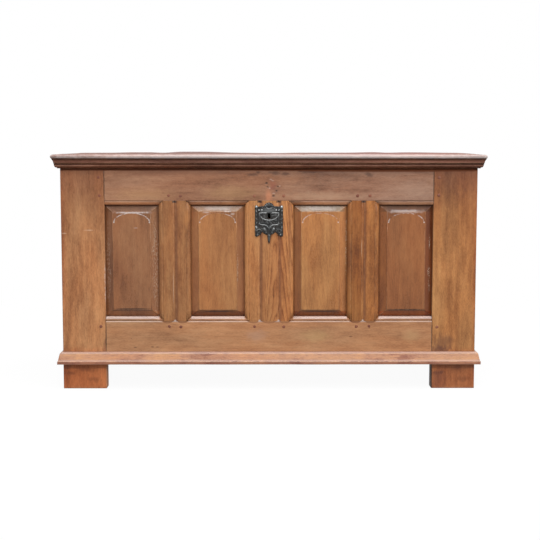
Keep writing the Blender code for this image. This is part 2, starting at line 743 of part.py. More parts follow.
def build_mouldings(label, outline, lift, finish, pivot=None):
    """Places a moulding along the front and both sides, mitred at the front corners."""
    shift = Vector((0, 0, lift)) - (HINGE_AXIS if pivot else Vector((0, 0, 0)))
    front = [(-out, up) for out, up in outline]
    body = prism(front, 0, -HALF_WIDTH + FIT, HALF_WIDTH - FIT, slant=(1, -1))
    place(f"{label}_front", carved(label, body), finish, pivot, Vector((0, FRONT, 0)) + shift)
    for hand, side in ((-1, "left"), (1, "right")):
        section = [(hand * out, up) for out, up in outline]
        run = prism(section, 1, FIT, CARCASS_DEPTH, slant=(-hand, 0))
        corner = Vector((hand * HALF_WIDTH, FRONT, 0))
        place(f"{label}_{side}", carved(label, run), finish, pivot, corner + shift)


def build_battens(pivot, finish):
    """Places the two battens across the underside of the lid, with chamfered ends."""
    front = FRONT + FRONT_THICKNESS + BATTEN_END_GAP
    back = BACK - BACK_THICKNESS - BATTEN_END_GAP
    outline = [
        (front, 0), (front, -BATTEN_THICKNESS + BATTEN_CHAMFER), (front + BATTEN_CHAMFER, -BATTEN_THICKNESS),
        (back - BATTEN_CHAMFER, -BATTEN_THICKNESS), (back, -BATTEN_THICKNESS + BATTEN_CHAMFER), (back, 0),
    ]
    batten = carved("lid_batten", prism(outline, 0, -BATTEN_WIDTH / 2, BATTEN_WIDTH / 2))
    for hand, side in ((-1, "left"), (1, "right")):
        location = Vector((hand * BATTEN_OFFSET, 0, CARCASS_HEIGHT - FIT)) - HINGE_AXIS
        place(f"lid_batten_{side}", batten, finish, pivot, location)


def strap_outline():
    """The (x, y) outline of a hinge strap from its knuckle tongue forwards, tapering to a round finial."""
    half = 1.5 * KNUCKLE_LENGTH + KNUCKLE_GAP
    tongue = KNUCKLE_LENGTH / 2
    root = -KNUCKLE_RADIUS - 2 * KNUCKLE_BACK_GAP
    weld = -(KNUCKLE_RADIUS + KNUCKLE_BORE) / 2
    end = -STRAP_LENGTH + STRAP_FINIAL_RADIUS
    neck = math.asin(STRAP_END_WIDTH / 2 / STRAP_FINIAL_RADIUS)
    left = [(-tongue, weld), (-tongue, root), (-half, root)]
    finial = []
    for i in range(ROUND_STEPS // 2 + 1):
        angle = neck + (2 * math.pi - 2 * neck) * i / (ROUND_STEPS // 2)
        finial.append((-STRAP_FINIAL_RADIUS * math.sin(angle), end + STRAP_FINIAL_RADIUS * math.cos(angle)))
    right = [(half, root), (tongue, root), (tongue, weld)]
    return left + finial + right


def back_leaf_outline():
    """The (x, z) outline of a back leaf below the pin, cut away for the strap's knuckle and tapering down."""
    half = 1.5 * KNUCKLE_LENGTH + KNUCKLE_GAP
    inner = KNUCKLE_LENGTH / 2 + KNUCKLE_GAP
    under = -KNUCKLE_RADIUS - 2 * KNUCKLE_GAP
    end = BACK_LEAF_END_WIDTH / 2
    left = [(-inner, under), (-inner, 0), (-half, 0), (-half, under)]
    tip = []
    for i in range(ROUND_STEPS // 2 + 1):
        angle = math.pi * i / (ROUND_STEPS // 2)
        tip.append((-end * math.cos(angle), -BACK_LEAF_HEIGHT + end - end * math.sin(angle)))
    return left + tip + [(half, under), (half, 0), (inner, 0), (inner, under)]


def build_hinges(pivot, finish):
    """Places two strap hinges, each a strap with the middle knuckle, a back leaf with two more, and a pin."""
    inner = KNUCKLE_LENGTH / 2
    outer = 1.5 * KNUCKLE_LENGTH + KNUCKLE_GAP
    strap_plate = prism(strap_outline(), 2, -HINGE_PLATE / 2, HINGE_PLATE / 2)
    strap = carved("strap", strap_plate, [(tube(KNUCKLE_RADIUS, -inner, inner, 0, 0, KNUCKLE_BORE), "UNION")])
    face = -KNUCKLE_RADIUS - KNUCKLE_BACK_GAP + FIT
    leaf_plate = prism(back_leaf_outline(), 1, face, face + HINGE_PLATE)
    knuckles = [
        (tube(KNUCKLE_RADIUS, low, high, 0, 0, KNUCKLE_BORE), "UNION")
        for low, high in ((-outer, -inner - KNUCKLE_GAP), (inner + KNUCKLE_GAP, outer))
    ]
    leaf = carved("leaf", leaf_plate, knuckles)
    shank = tube(HINGE_PIN_RADIUS, -outer - PAST, outer + PAST, 0, 0)
    heads = [
        (tube(HINGE_PIN_HEAD_RADIUS, low, low + HINGE_PIN_HEAD_LENGTH, 0, 0), "UNION")
        for low in (outer + FIT, -outer - FIT - HINGE_PIN_HEAD_LENGTH)
    ]
    pin = carved("pin", shank, heads)
    for hand, side in ((-1, "left"), (1, "right")):
        offset = Vector((hand * HINGE_OFFSET, 0, 0))
        place(f"hinge_strap_{side}", strap, finish, pivot, offset, smooth=True)
        place(f"hinge_back_leaf_{side}", leaf, finish, None, HINGE_AXIS + offset, smooth=True)
        place(f"hinge_pin_{side}", pin, finish, None, HINGE_AXIS + offset, smooth=True)


def escutcheon_outline():
    """The (x, z) outline of the escutcheon about the keyhole: a crest, horned corners, lobes and a drop."""
    half, top, low = ESCUTCHEON_HALF_WIDTH, ESCUTCHEON_TOP, -ESCUTCHEON_BOTTOM
    right = [
        (0.0, ESCUTCHEON_CREST), (half * 0.15, ESCUTCHEON_CREST * 0.95), (half * 0.28, ESCUTCHEON_CREST * 0.84),
        (half * 0.34, top * 0.96), (half * 0.74, top * 0.90), (half * 0.88, top * 1.04), (half, top),
        (half, low * 0.98), (half * 0.87, low * 1.02), (half * 0.67, low * 0.94), (half * 0.48, low * 0.79),
        (half * 0.28, low * 0.89), (half * 0.13, low * 0.93), (half * 0.08, -ESCUTCHEON_TIP * 0.90),
        (0.0, -ESCUTCHEON_TIP),
    ]
    return right + [(-x, z) for x, z in reversed(right[1:-1])]


def build_escutcheon(finish):
    """Places the iron plate round the keyhole, on the face of the centre muntin."""
    outline = [(x, KEYHOLE_HEIGHT + z) for x, z in escutcheon_outline()]
    plate = prism(outline, 1, -ESCUTCHEON_THICKNESS - FIT, -FIT)
    hole = prism(keyhole_outline(), 1, -ESCUTCHEON_THICKNESS - PAST, PAST)
    place("escutcheon", carved("escutcheon", plate, [(hole, "DIFFERENCE")]), finish, None, (0, FRONT, 0))


def bolt_levels():
    """Heights of the bolt's underside, its notch floor, the finger's underside and its top."""
    floor = HASP_LOW - BOLT_NOTCH_CLEARANCE
    finger = HASP_LOW + HASP_FOOT + (HASP_EYE_HEIGHT - BOLT_FINGER_HEIGHT) / 2
    return floor - BOLT_FLOOR_HEIGHT, floor, finger, finger + BOLT_FINGER_HEIGHT


def build_lock_case(finish):
    """Places the lock case inside the front: a shell open to the wood, with ears, slots and the key's pin."""
    back = FRONT + FRONT_THICKNESS + FIT
    half, wall = CASE_WIDTH / 2, CASE_WALL
    low, high = KEYHOLE_HEIGHT - CASE_BELOW_KEYHOLE, CARCASS_HEIGHT - CASE_TOP_DROP
    body = boxes(((-half, back, low), (half, back + CASE_DEPTH, high)))
    ears = boxes((
        (-half - CASE_EAR, back, low + CASE_EAR), (half + CASE_EAR, back + wall, high - CASE_EAR),
    ))
    hollow = boxes((
        (-half + wall, back - PAST, low + wall), (half - wall, back + CASE_DEPTH - wall, high - wall),
    ))
    mouth = boxes((
        (-BOLT_MOUTH / 2, HASP_Y - HASP_WIDTH / 2 - HASP_SWING, high - wall - PAST),
        (BOLT_MOUTH / 2, HASP_Y + HASP_WIDTH / 2 + HASP_SWING / 2, high + PAST),
    ))
    under, _, _, top = bolt_levels()
    guides = boxes(*(
        ((hand * (half - wall - PAST), HASP_Y - BOLT_THICKNESS / 2 - FIT, under - FIT),
         (hand * (half + PAST), HASP_Y + BOLT_THICKNESS / 2 + FIT, top + FIT))
        for hand in (-1, 1)
    ))
    pin = bmesh.new()
    head = KEYHOLE_HEIGHT + KEYHOLE_LENGTH / 2 - KEYHOLE_WIDTH / 2
    length = CASE_DEPTH - wall / 2 + FRONT_THICKNESS
    along = Matrix.Translation((0, FRONT + length / 2, head)) @ Matrix.Rotation(math.pi / 2, 4, "X")
    bmesh.ops.create_cone(
        pin, cap_ends=True, segments=ROUND_STEPS // 2, depth=length, radius1=KEY_PIN_RADIUS,
        radius2=KEY_PIN_RADIUS, matrix=along,
    )
    steps = [
        (ears, "UNION"), (hollow, "DIFFERENCE"), (mouth, "DIFFERENCE"), (guides, "DIFFERENCE"), (pin, "UNION"),
    ]
    place("lock_case", carved("lock_case", body, steps), finish, None)


def build_bolt(slide, finish):
    """Places the lock's hook bolt, unlocked: a bar with a notch under a finger, and an arm down to the key."""
    under, floor, finger, top = bolt_levels()
    reach = CASE_WIDTH / 2 + BOLT_REACH
    mouth = BOLT_MOUTH / 2
    undercut = -mouth - BOLT_TRAVEL
    arm, talon = BOLT_ARM_WIDTH / 2, BOLT_TALON_WIDTH / 2
    end = KEYHOLE_HEIGHT + BOLT_ARM_END
    notch = end + BOLT_TALON_DEPTH
    outline = [
        (-reach - BOLT_TRAVEL, under), (-arm, under), (-arm, end), (-talon, end), (-talon, notch),
        (talon, notch), (talon, end), (arm, end), (arm, under), (reach, under), (reach, top),
        (mouth, top), (mouth, floor), (undercut, floor), (undercut, finger), (-mouth, finger), (-mouth, top),
        (-reach - BOLT_TRAVEL, top),
    ]
    centre = slide.location
    shape = prism([(x, z - centre.z) for x, z in outline], 1, -BOLT_THICKNESS / 2, BOLT_THICKNESS / 2)
    place("lock_bolt", carved("lock_bolt", shape), finish, slide)


def build_hasp(pivot, finish):
    """Places the hasp under the lid: a plate with a tongue that hangs into the lock, pierced for the bolt."""
    half = HASP_WIDTH / 2
    outline = [(-half, 0), (-half, -HASP_LENGTH + half / 2), (-half / 2, -HASP_LENGTH)]
    outline += [(half / 2, -HASP_LENGTH), (half, -HASP_LENGTH + half / 2), (half, 0)]
    tongue = prism(outline, 0, -HASP_THICKNESS / 2, HASP_THICKNESS / 2)
    eye = boxes((
        (-HASP_THICKNESS, -HASP_EYE_WIDTH / 2, -HASP_LENGTH + HASP_FOOT),
        (HASP_THICKNESS, HASP_EYE_WIDTH / 2, -HASP_LENGTH + HASP_FOOT + HASP_EYE_HEIGHT),
    ))
    plate = boxes((
        (-HASP_PLATE_WIDTH / 2, -HASP_PLATE_WIDTH / 2, -HASP_PLATE_THICKNESS),
        (HASP_PLATE_WIDTH / 2, HASP_PLATE_WIDTH / 2, -FIT),
    ))
    shape = carved("lock_hasp", tongue, [(eye, "DIFFERENCE"), (plate, "UNION")])
    place("lock_hasp", shape, finish, pivot, Vector((0, HASP_Y, CARCASS_HEIGHT)) - HINGE_AXIS)


def main():
    """Builds the whole chest."""
    clear_scene()
    oak = material("oak", OAK, 0.5)
    panel_oak = material("panel_oak", OAK, 0.45)
    lid_oak = material("lid_oak", LID_OAK, 0.5)
    inner_oak = material("inner_oak", INNER_OAK, 0.7)
    iron = material("iron", IRON, 0.45, 0.9)

    front_axes = empty("front_axes", (0, FRONT, 0))
    back_axes = empty("back_axes", (0, BACK, 0), math.pi)
    middle = (FRONT + BACK) / 2
    left_axes = empty("left_axes", (-HALF_WIDTH, middle, 0), -math.pi / 2)
    right_axes = empty("right_axes", (HALF_WIDTH, middle, 0), math.pi / 2)
    lid_pivot = empty("lid_pivot", HINGE_AXIS)
    bolt_slide = empty("bolt_slide", (0, HASP_Y, bolt_levels()[1]))

    build_stiles(front_axes, back_axes, oak)
    build_frame(FRONT_FRAME, front_axes, oak, panel_oak)
    build_frame(LEFT_FRAME, left_axes, oak, panel_oak)
    build_frame(RIGHT_FRAME, right_axes, oak, panel_oak)
    build_frame(BACK_FRAME, back_axes, inner_oak, inner_oak)
    build_floor(inner_oak)
    build_mouldings("plinth_moulding", plinth_outline(), PLINTH_LIFT, oak)

    build_lid_boards(lid_pivot, lid_oak)
    lid_edge_height = CARCASS_HEIGHT - LID_MOULDING_HEIGHT
    build_mouldings("lid_moulding", lid_moulding_outline(), lid_edge_height, lid_oak, lid_pivot)
    build_battens(lid_pivot, inner_oak)
    build_hinges(lid_pivot, iron)

    build_escutcheon(iron)
    build_lock_case(iron)
    build_bolt(bolt_slide, iron)
    build_hasp(lid_pivot, iron)


main()
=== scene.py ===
"""Looks of a joined oak blanket chest: worn waxed oak, pegged joints and old iron, in plain studio light."""

import logging
import math
import random
from collections.abc import Callable, Iterable, Sequence
from dataclasses import dataclass, replace
from enum import Enum

import bmesh
import bpy
from mathutils import Matrix, Vector, noise


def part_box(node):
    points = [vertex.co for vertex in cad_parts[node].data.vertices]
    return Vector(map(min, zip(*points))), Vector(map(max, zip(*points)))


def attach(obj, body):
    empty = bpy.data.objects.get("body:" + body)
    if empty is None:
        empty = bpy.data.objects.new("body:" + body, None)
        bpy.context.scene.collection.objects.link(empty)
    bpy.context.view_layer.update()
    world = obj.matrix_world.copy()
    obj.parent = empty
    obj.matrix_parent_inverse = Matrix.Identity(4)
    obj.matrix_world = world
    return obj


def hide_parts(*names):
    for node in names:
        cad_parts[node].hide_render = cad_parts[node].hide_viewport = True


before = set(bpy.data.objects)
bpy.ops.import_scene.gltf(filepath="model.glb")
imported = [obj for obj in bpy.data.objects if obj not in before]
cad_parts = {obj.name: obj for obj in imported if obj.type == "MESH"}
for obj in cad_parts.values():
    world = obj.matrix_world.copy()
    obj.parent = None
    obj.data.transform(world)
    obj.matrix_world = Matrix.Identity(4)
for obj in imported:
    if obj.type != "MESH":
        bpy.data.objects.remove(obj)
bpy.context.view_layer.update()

LOG = logging.getLogger("chest")
MERGE = 1e-5
FLAT = math.radians(0.5)
MM = 0.001
FAR = 9.0  # past any edge of the chest
NOISE_SEED = 11
SHIFT_RANGE = 60
SEED_STEPS = (7.3, 3.1, 5.7)
RIM_SHARE = 0.2
SPECK_SOFT = 0.06
HANDS = (-1, 1)
DOWN = Vector((0, 0, -1))
REARWARD = Vector((0, 1, 0))

Colour = tuple[float, float, float]
Spot = tuple[float, float]


def srgb(red: int, green: int, blue: int) -> Colour:
    """A screen colour of 0 to 255 as linear light."""
    shares = (part / 255 for part in (red, green, blue))
    return tuple(s / 12.92 if s <= 0.04045 else ((s + 0.055) / 1.055) ** 2.4 for s in shares)


def scaled(colour: Colour, by: Colour) -> Colour:
    """One colour multiplied by another."""
    return tuple(a * b for a, b in zip(colour, by))


def own_shift(name: str) -> list[float]:
    """An offset in the noise that gives a piece its own pattern."""
    dice = random.Random(name)
    return [dice.uniform(0, SHIFT_RANGE) for _ in range(3)]


def turned(way: Vector) -> Matrix:
    """The turn that points Z along a way."""
    return way.to_track_quat("Z", "Y").to_matrix().to_4x4()


def middle_of(node: str) -> float:
    """The middle of a node from left to right."""
    low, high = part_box(node)
    return (low.x + high.x) / 2


def shown(name: str, data: bpy.types.ID) -> bpy.types.Object:
    """Puts new data into the scene.

    Args:
        name: The object's name.
        data: Its mesh, light or camera.

    Returns:
        The object.
    """
    made = bpy.data.objects.new(name, data)
    bpy.context.scene.collection.objects.link(made)
    return made


def operator(operation: str, swapped: bool = False) -> Callable[..., "Wire"]:
    """A method that adds a Math node on a wire and, where it needs one, another value.

    Args:
        operation: The node's operation.
        swapped: Whether the other value comes first.

    Returns:
        The method.
    """
    def method(wire: "Wire", other: "Value" = None) -> "Wire":
        """The node's result."""
        pair = (other, wire) if swapped else (wire, other)
        return wire.graph.node("ShaderNodeMath", {"operation": operation}, dict(enumerate(pair)))

    return method


class Wire:
    """A shader socket that Python's operators combine through Math nodes."""

    __add__, __radd__ = operator("ADD"), operator("ADD", True)
    __sub__, __rsub__ = operator("SUBTRACT"), operator("SUBTRACT", True)
    __mul__, __rmul__ = operator("MULTIPLY"), operator("MULTIPLY", True)
    __truediv__, __pow__, __abs__ = operator("DIVIDE"), operator("POWER"), operator("ABSOLUTE")
    fraction, most = operator("FRACT"), operator("MAXIMUM")

    def __init__(self, graph: "Graph", socket: bpy.types.NodeSocket) -> None:
        """Keeps the socket and its graph."""
        self.graph = graph
        self.socket = socket


Value = Wire | float | Sequence[float] | None


class Graph:
    """The nodes of one material or of the world, built from expressions."""

    def __init__(self, tree: bpy.types.NodeTree) -> None:
        """Keeps the node tree."""
        self.tree = tree

    @staticmethod
    def socket(sockets: bpy.types.bpy_prop_collection, key: int | str) -> bpy.types.NodeSocket:
        """The socket of that index, identifier or name."""
        named = next((socket for socket in sockets if socket.identifier == key), None)
        return named or sockets[key]

    def feed(self, socket: bpy.types.NodeSocket, value: Value) -> None:
        """Links a wire to a socket, or sets the socket's own value.

        Args:
            socket: The input to feed.
            value: A wire, a number, a colour or a vector.
        """
        if isinstance(value, Wire):
            self.tree.links.new(value.socket, socket)
        elif socket.type == "RGBA" and len(value) == 3:
            socket.default_value = (*value, 1.0)
        else:
            socket.default_value = value

    def node(self, kind: str, settings: dict | None = None, inputs: dict | None = None,
             output: int | str = 0) -> Wire:
        """Adds any node.

        Args:
            kind: The node's type.
            settings: Its properties, set first. "stops" holds a ramp's (place, colour) pairs.
            inputs: Values or wires by the sockets' index, identifier or name.
            output: The output that is returned.

        Returns:
            The wire of that output.
        """
        made = self.tree.nodes.new(kind)
        for name, value in (settings or {}).items():
            if name != "stops":
                setattr(made, name, value)
                continue
            elements = made.color_ramp.elements
            while len(elements) < len(value):
                elements.new(1.0)
            for element, (place, colour) in zip(elements, value):
                element.position = place
                element.color = (*colour, 1.0)
        for key, value in (inputs or {}).items():
            if value is not None:
                self.feed(self.socket(made.inputs, key), value)
        return Wire(self, self.socket(made.outputs, output))

    def place(self) -> Wire:
        """The place on the piece, in metres."""
        return self.node("ShaderNodeTexCoord", {}, {}, "Object")

    def split(self, vector: Wire) -> list[Wire]:
        """The three parts of a vector."""
        first = self.node("ShaderNodeSeparateXYZ", {}, {0: vector})
        return [Wire(self, socket) for socket in first.socket.node.outputs]

    def vector(self, operation: str, first: Wire, second: Value = None, output: int | str = 0) -> Wire:
        """A Vector Math node on one or two vectors."""
        return self.node("ShaderNodeVectorMath", {"operation": operation}, {0: first, 1: second}, output)

    def noise(self, place: Wire, scale: Sequence[float], shift: Sequence[float], detail: float = 2.0) -> Wire:
        """Smooth noise about 0.5, of so many features per metre along each axis, an offset and octaves."""
        moved = self.node("ShaderNodeMapping", {}, {"Vector": place, "Scale": scale, "Location": shift})
        return self.node("ShaderNodeTexNoise", {}, {"Vector": moved, "Scale": 1.0, "Detail": detail})

    def between(self, value: Wire, low: float, high: float) -> Wire:
        """A smooth step from 0 at low to 1 at high."""
        return self.node(
            "ShaderNodeMapRange", {"interpolation_type": "SMOOTHSTEP"}, {"Value": value, 1: low, 2: high})

    def mix(self, share: Value, first: Value, second: Value, blend: str = "MIX") -> Wire:
        """Two colours mixed by a share of the second."""
        inputs = {"Factor_Float": share, "A_Color": first, "B_Color": second}
        return self.node("ShaderNodeMix", {"data_type": "RGBA", "blend_type": blend}, inputs, "Result_Color")

    def bump(self, height: Wire) -> Wire:
        """A normal from a height in metres."""
        return self.node("ShaderNodeBump", {}, {"Strength": 1.0, "Distance": 1.0, "Height": height}, "Normal")

    def corner(self, reach: float, open_share: float, deep_share: float) -> Wire:
        """How far a place lies in a corner within a reach, between two shares of hidden sky."""
        seen = self.node("ShaderNodeAmbientOcclusion", {"samples": 4}, {"Distance": reach}, "AO")
        return self.between(1 - seen, open_share, deep_share)

    def attribute(self, name: str) -> Wire:
        """A number stored on the mesh."""
        return self.node("ShaderNodeAttribute", {"attribute_name": name}, {}, "Fac")


class Surface:
    """A material's Principled shader and its graph."""

    def __init__(self, name: str) -> None:
        """Makes an empty material.

        Args:
            name: The material's name.
        """
        self.material = bpy.data.materials.new(name)
        self.material.use_nodes = True
        self.graph = Graph(self.material.node_tree)
        self.shader = self.material.node_tree.nodes["Principled BSDF"]

    def set(self, **inputs: Value) -> None:
        """Feeds the shader's inputs, with spaces in their names written as underscores."""
        for name, value in inputs.items():
            self.graph.feed(self.shader.inputs[name.replace("_", " ")], value)


class Grain(Enum):
    """How a board's grain runs: which of X, Y and Z lie along it, across it and through its thickness."""

    UPRIGHT = (2, 0, 1)
    UPRIGHT_SIDE = (2, 1, 0)
    CROSS = (0, 2, 1)
    CROSS_SIDE = (1, 2, 0)
    FLAT = (0, 1, 2)
    FLAT_ACROSS = (1, 0, 2)


class Blend(Enum):
    """How a mark's colour meets the wood: laid over it, or staining it."""

    OVER = "MIX"
    STAIN = "MULTIPLY"


class Body(Enum):
    """The moving bodies of the chest."""

    CHEST = "chest"
    LID = "lid"
    BOLT = "bolt"


@dataclass(frozen=True)
class Mark:
    """A stain, patch, hole or polished place on a board: an ellipsoid or a block with a soft, ragged rim."""

    centre: tuple[float, float, float]
    radius: tuple[float, float, float]
    colour: Colour
    strength: float = 0.8
    soft: float = 0.5
    ragged: float = 0.5
    depth: float = 0.0
    polish: float = 0.0
    dull: float = 0.0
    broken: float = 0.0
    square: bool = False
    blend: Blend = Blend.OVER

    def mask(self, graph: Graph, point: Wire, rough: Wire, fleck: Wire) -> Wire:
        """Where the mark lies.

        Args:
            graph: The graph of the board's material.
            point: The place on the board.
            rough: Noise that frays the rim.
            fleck: Finer noise that breaks a broken mark into specks.

        Returns:
            1 inside and 0 outside.
        """
        frayed = self.away(graph, point) + (rough - 0.5) * (2 * self.ragged)
        inside = 1 - graph.between(frayed, 1 - self.soft, 1 + self.soft * RIM_SHARE)
        if self.broken:
            return inside * graph.between(fleck, self.broken - SPECK_SOFT, self.broken + SPECK_SOFT)
        return inside

    def away(self, graph: Graph, point: Wire) -> Wire:
        """How far a place lies from the centre.

        Args:
            graph: The graph of the board's material.
            point: The place on the board.

        Returns:
            The distance in radii.
        """
        shares = graph.vector("DIVIDE", graph.vector("SUBTRACT", point, self.centre), self.radius)
        if self.square:
            x, y, z = (abs(part) for part in graph.split(shares))
            return x.most(y).most(z)
        return graph.vector("LENGTH", shares, output="Value")


@dataclass(frozen=True)
class ArchLine(Mark):
    """The pale edge of an arch, worn and with a painted highlight: a broken line on an ellipse above its
    spring, fading at the crown.
    """

    line: float = 0.045
    crown: float = 1.0

    def mask(self, graph: Graph, point: Wire, rough: Wire, fleck: Wire) -> Wire:
        """Where the line lies.

        Args:
            graph: The graph of the board's material.
            point: The place on the board.
            rough: Noise that breaks the line.
            fleck: Finer noise that thins it.

        Returns:
            1 on the line and 0 elsewhere.
        """
        off = abs(self.away(graph, point) - 1 + (rough - 0.5) * 0.05)
        x, _, z = graph.split(point)
        above = graph.between(z, self.centre[2] - 0.004, self.centre[2] + 0.002)
        flank = graph.between(abs(x - self.centre[0]) / self.radius[0], 0.30, 0.62)
        shown = above * (self.crown + flank * (1 - self.crown)) * graph.between(rough, 0.38, 0.60)
        return (1 - graph.between(off, self.line * 0.3, self.line)) * shown * graph.between(fleck, 0.25, 0.50)


def spot(x: float, z: float, wide: float, high: float, colour: Colour, *look: float,
         **more: float | bool | Blend) -> Mark:
    """A mark on the front, right through the chest: its place, half its sizes, its colour and its look."""
    return Mark((x, 0, z), (wide, FAR, high), colour, *look, **more)


def stain(x: float, z: float, wide: float, high: float, tint: Colour, soft: float, ragged: float,
          strength: float = 1.0, **more: float | bool) -> Mark:
    """A mark on the front that tints the wood."""
    return spot(x, z, wide, high, tint, strength, soft, ragged, blend=Blend.STAIN, **more)


@dataclass(frozen=True)
class Board:
    """One board: its node, the way of its grain, its tone, and where the tree's heart lay from its middle.

    The figure says how strongly its rings show, and the contrast how lively its grain is.
    """

    node: str
    grain: Grain
    tone: Colour = (1.0, 1.0, 1.0)
    heart: Spot = (0.30, 0.06)
    taper: float = 0.012
    marks: Sequence[Mark] = ()
    figure: float = 0.16
    contrast: float = 1.0


@dataclass(frozen=True)
class Oak:
    """Old oak: its grain's three colours, its gloss, soiling and painted shade in its corners, and its wear.
    """

    slot: str
    dark: Colour
    middle: Colour
    pale: Colour
    roughness: float
    coat: float
    corner_dirt_and_shade: float
    wear: float
    specular: float = 0.30
    cloud: tuple[float, float, float] = (3.4, 9.0, 9.0)
    ring: float = 0.0031
    worn: Colour = srgb(214, 172, 132)
    dirt_and_shade: Colour = srgb(52, 30, 20)
    red: Colour = (1.10, 0.92, 0.78)

    def material(self, board: Board) -> bpy.types.Material:
        """The finish of one board.

        Args:
            board: The board to finish.

        Returns:
            Its material.
        """
        surface = Surface(board.node)
        graph = surface.graph
        shift = own_shift(board.node)
        point = graph.place()
        axes = graph.split(point)
        grain = graph.node("ShaderNodeCombineXYZ", {}, dict(enumerate(axes[i] for i in board.grain.value)))
        cloud = graph.between(graph.noise(grain, self.cloud, shift, 3.0), 0.30, 0.70)
        streak = graph.between(graph.noise(grain, (5.5, 85, 85), shift, 4.0), 0.28, 0.72)
        mottle = graph.noise(grain, (34, 110, 110), shift, 3.0)
        fleck = graph.noise(grain, (150, 480, 480), shift, 2.0)
        dash = graph.between(graph.noise(grain, (62, 230, 230), shift, 2.0), 0.54, 0.70)
        pore = graph.between(graph.noise(grain, (48, 1500, 1500), shift, 1.0), 0.54, 0.68)
        rough = graph.noise(grain, (60, 90, 90), shift, 3.0)
        rings = self.rings(graph, grain, board, shift)
        patch = graph.between(graph.noise(grain, (9, 30, 30), shift[::-1], 3.0), 0.32, 0.68)

        layers = (
            (cloud, 0.42), (patch, 0.26), (streak, 0.22), (mottle, 0.50), (fleck, 0.60),
            (rings, board.figure))
        tone = sum(((layer - 0.5) * (share * board.contrast) for layer, share in layers), 0.5)
        stops = [(place, scaled(shade, board.tone))
                 for place, shade in ((0.10, self.dark), (0.50, self.middle), (0.90, self.pale))]
        colour = graph.node("ShaderNodeValToRGB", {"stops": stops}, {0: tone})
        warmth = graph.between(graph.noise(grain, (3.0, 13, 13), shift[::-1], 3.0), 0.35, 0.68)
        colour = graph.mix(warmth * 0.6, colour, self.red, "MULTIPLY")
        colour = graph.mix(dash * (0.13 * board.contrast), colour, self.dirt_and_shade)
        colour = graph.mix(pore * (1 - rings * 0.6) * 0.42, colour, self.dirt_and_shade)

        height = (rings - pore) * 0.00008 + graph.noise(grain, (5, 15, 15), shift) * 0.0010
        coat, dulled = self.coat, self.roughness
        for mark in board.marks:
            where = mark.mask(graph, point, rough, fleck)
            colour = graph.mix(where * mark.strength, colour, mark.colour, mark.blend.value)
            if mark.depth:
                height = height - where * mark.depth
            if mark.polish:
                coat = coat + where * mark.polish
            if mark.dull:
                dulled = dulled + where * mark.dull

        speck = graph.node("ShaderNodeTexVoronoi", {}, {"Vector": point, "Scale": 26.0}, "Distance")
        ding = (1 - graph.between(speck, 0.018, 0.045)) * graph.between(cloud, 0.35, 0.75)
        colour = graph.mix(ding * 0.6, colour, self.dirt_and_shade)
        # Soiling and painted shade in corners, creases and joints, from how much of the sky each place hides.
        corner = graph.corner(0.008, 0.18, 0.68) * (0.65 + rough * 0.7)
        corner_dirt_and_shade = corner * self.corner_dirt_and_shade
        colour = graph.mix(corner_dirt_and_shade, colour, self.dirt_and_shade)
        arris = graph.attribute("arris") * graph.between(rough, 0.36, 0.60) * (1 - corner)
        colour = graph.mix(arris * self.wear, colour, self.worn)

        gloss = dulled + (fleck - 0.5) * 0.20 + (cloud - 0.5) * 0.08 + corner_dirt_and_shade * 0.25 - arris * 0.06
        surface.set(
            Base_Color=colour, Roughness=gloss, Normal=graph.bump(height - ding * 0.0004),
            Coat_Weight=coat, Coat_Roughness=0.28, Specular_IOR_Level=self.specular)
        return surface.material

    def rings(self, graph: Graph, grain: Wire, board: Board, shift: Sequence[float]) -> Wire:
        """The tree's rings, cut by the board as the solid wood would be.

        Args:
            graph: The graph of the board's material.
            grain: The place along, across and through the board.
            board: The board.
            shift: The board's own offset in the noise.

        Returns:
            0 in the open pores of a ring's start, and up to 1 in its dense part.
        """
        low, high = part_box(board.node)
        _, across, through = board.grain.value
        middle = (low + high) / 2
        parts = graph.split(grain)
        bend = graph.noise(grain, (2.1, 10, 10), shift[1:] + shift[:1]) - 0.5
        sway = graph.noise(grain, (7.5, 26, 26), shift[2:] + shift[:2]) - 0.5
        side = parts[1] - (middle[across] + board.heart[0]) + bend * 0.045 + sway * 0.006
        back = parts[2] - (middle[through] + board.heart[1]) + bend * 0.030
        radius = (side * side + back * back) ** 0.5 + parts[0] * board.taper
        phase = (radius / self.ring).fraction()
        return graph.between(phase, 0.0, 0.32) * (1 - graph.between(phase, 0.45, 1.1) * 0.55)

    def dress(self, piece: "Workpiece", board: Board, body: Body) -> None:
        """Finishes a worked board and places it for its node."""
        piece.place(self.material(board), body, self.slot, [board.node])


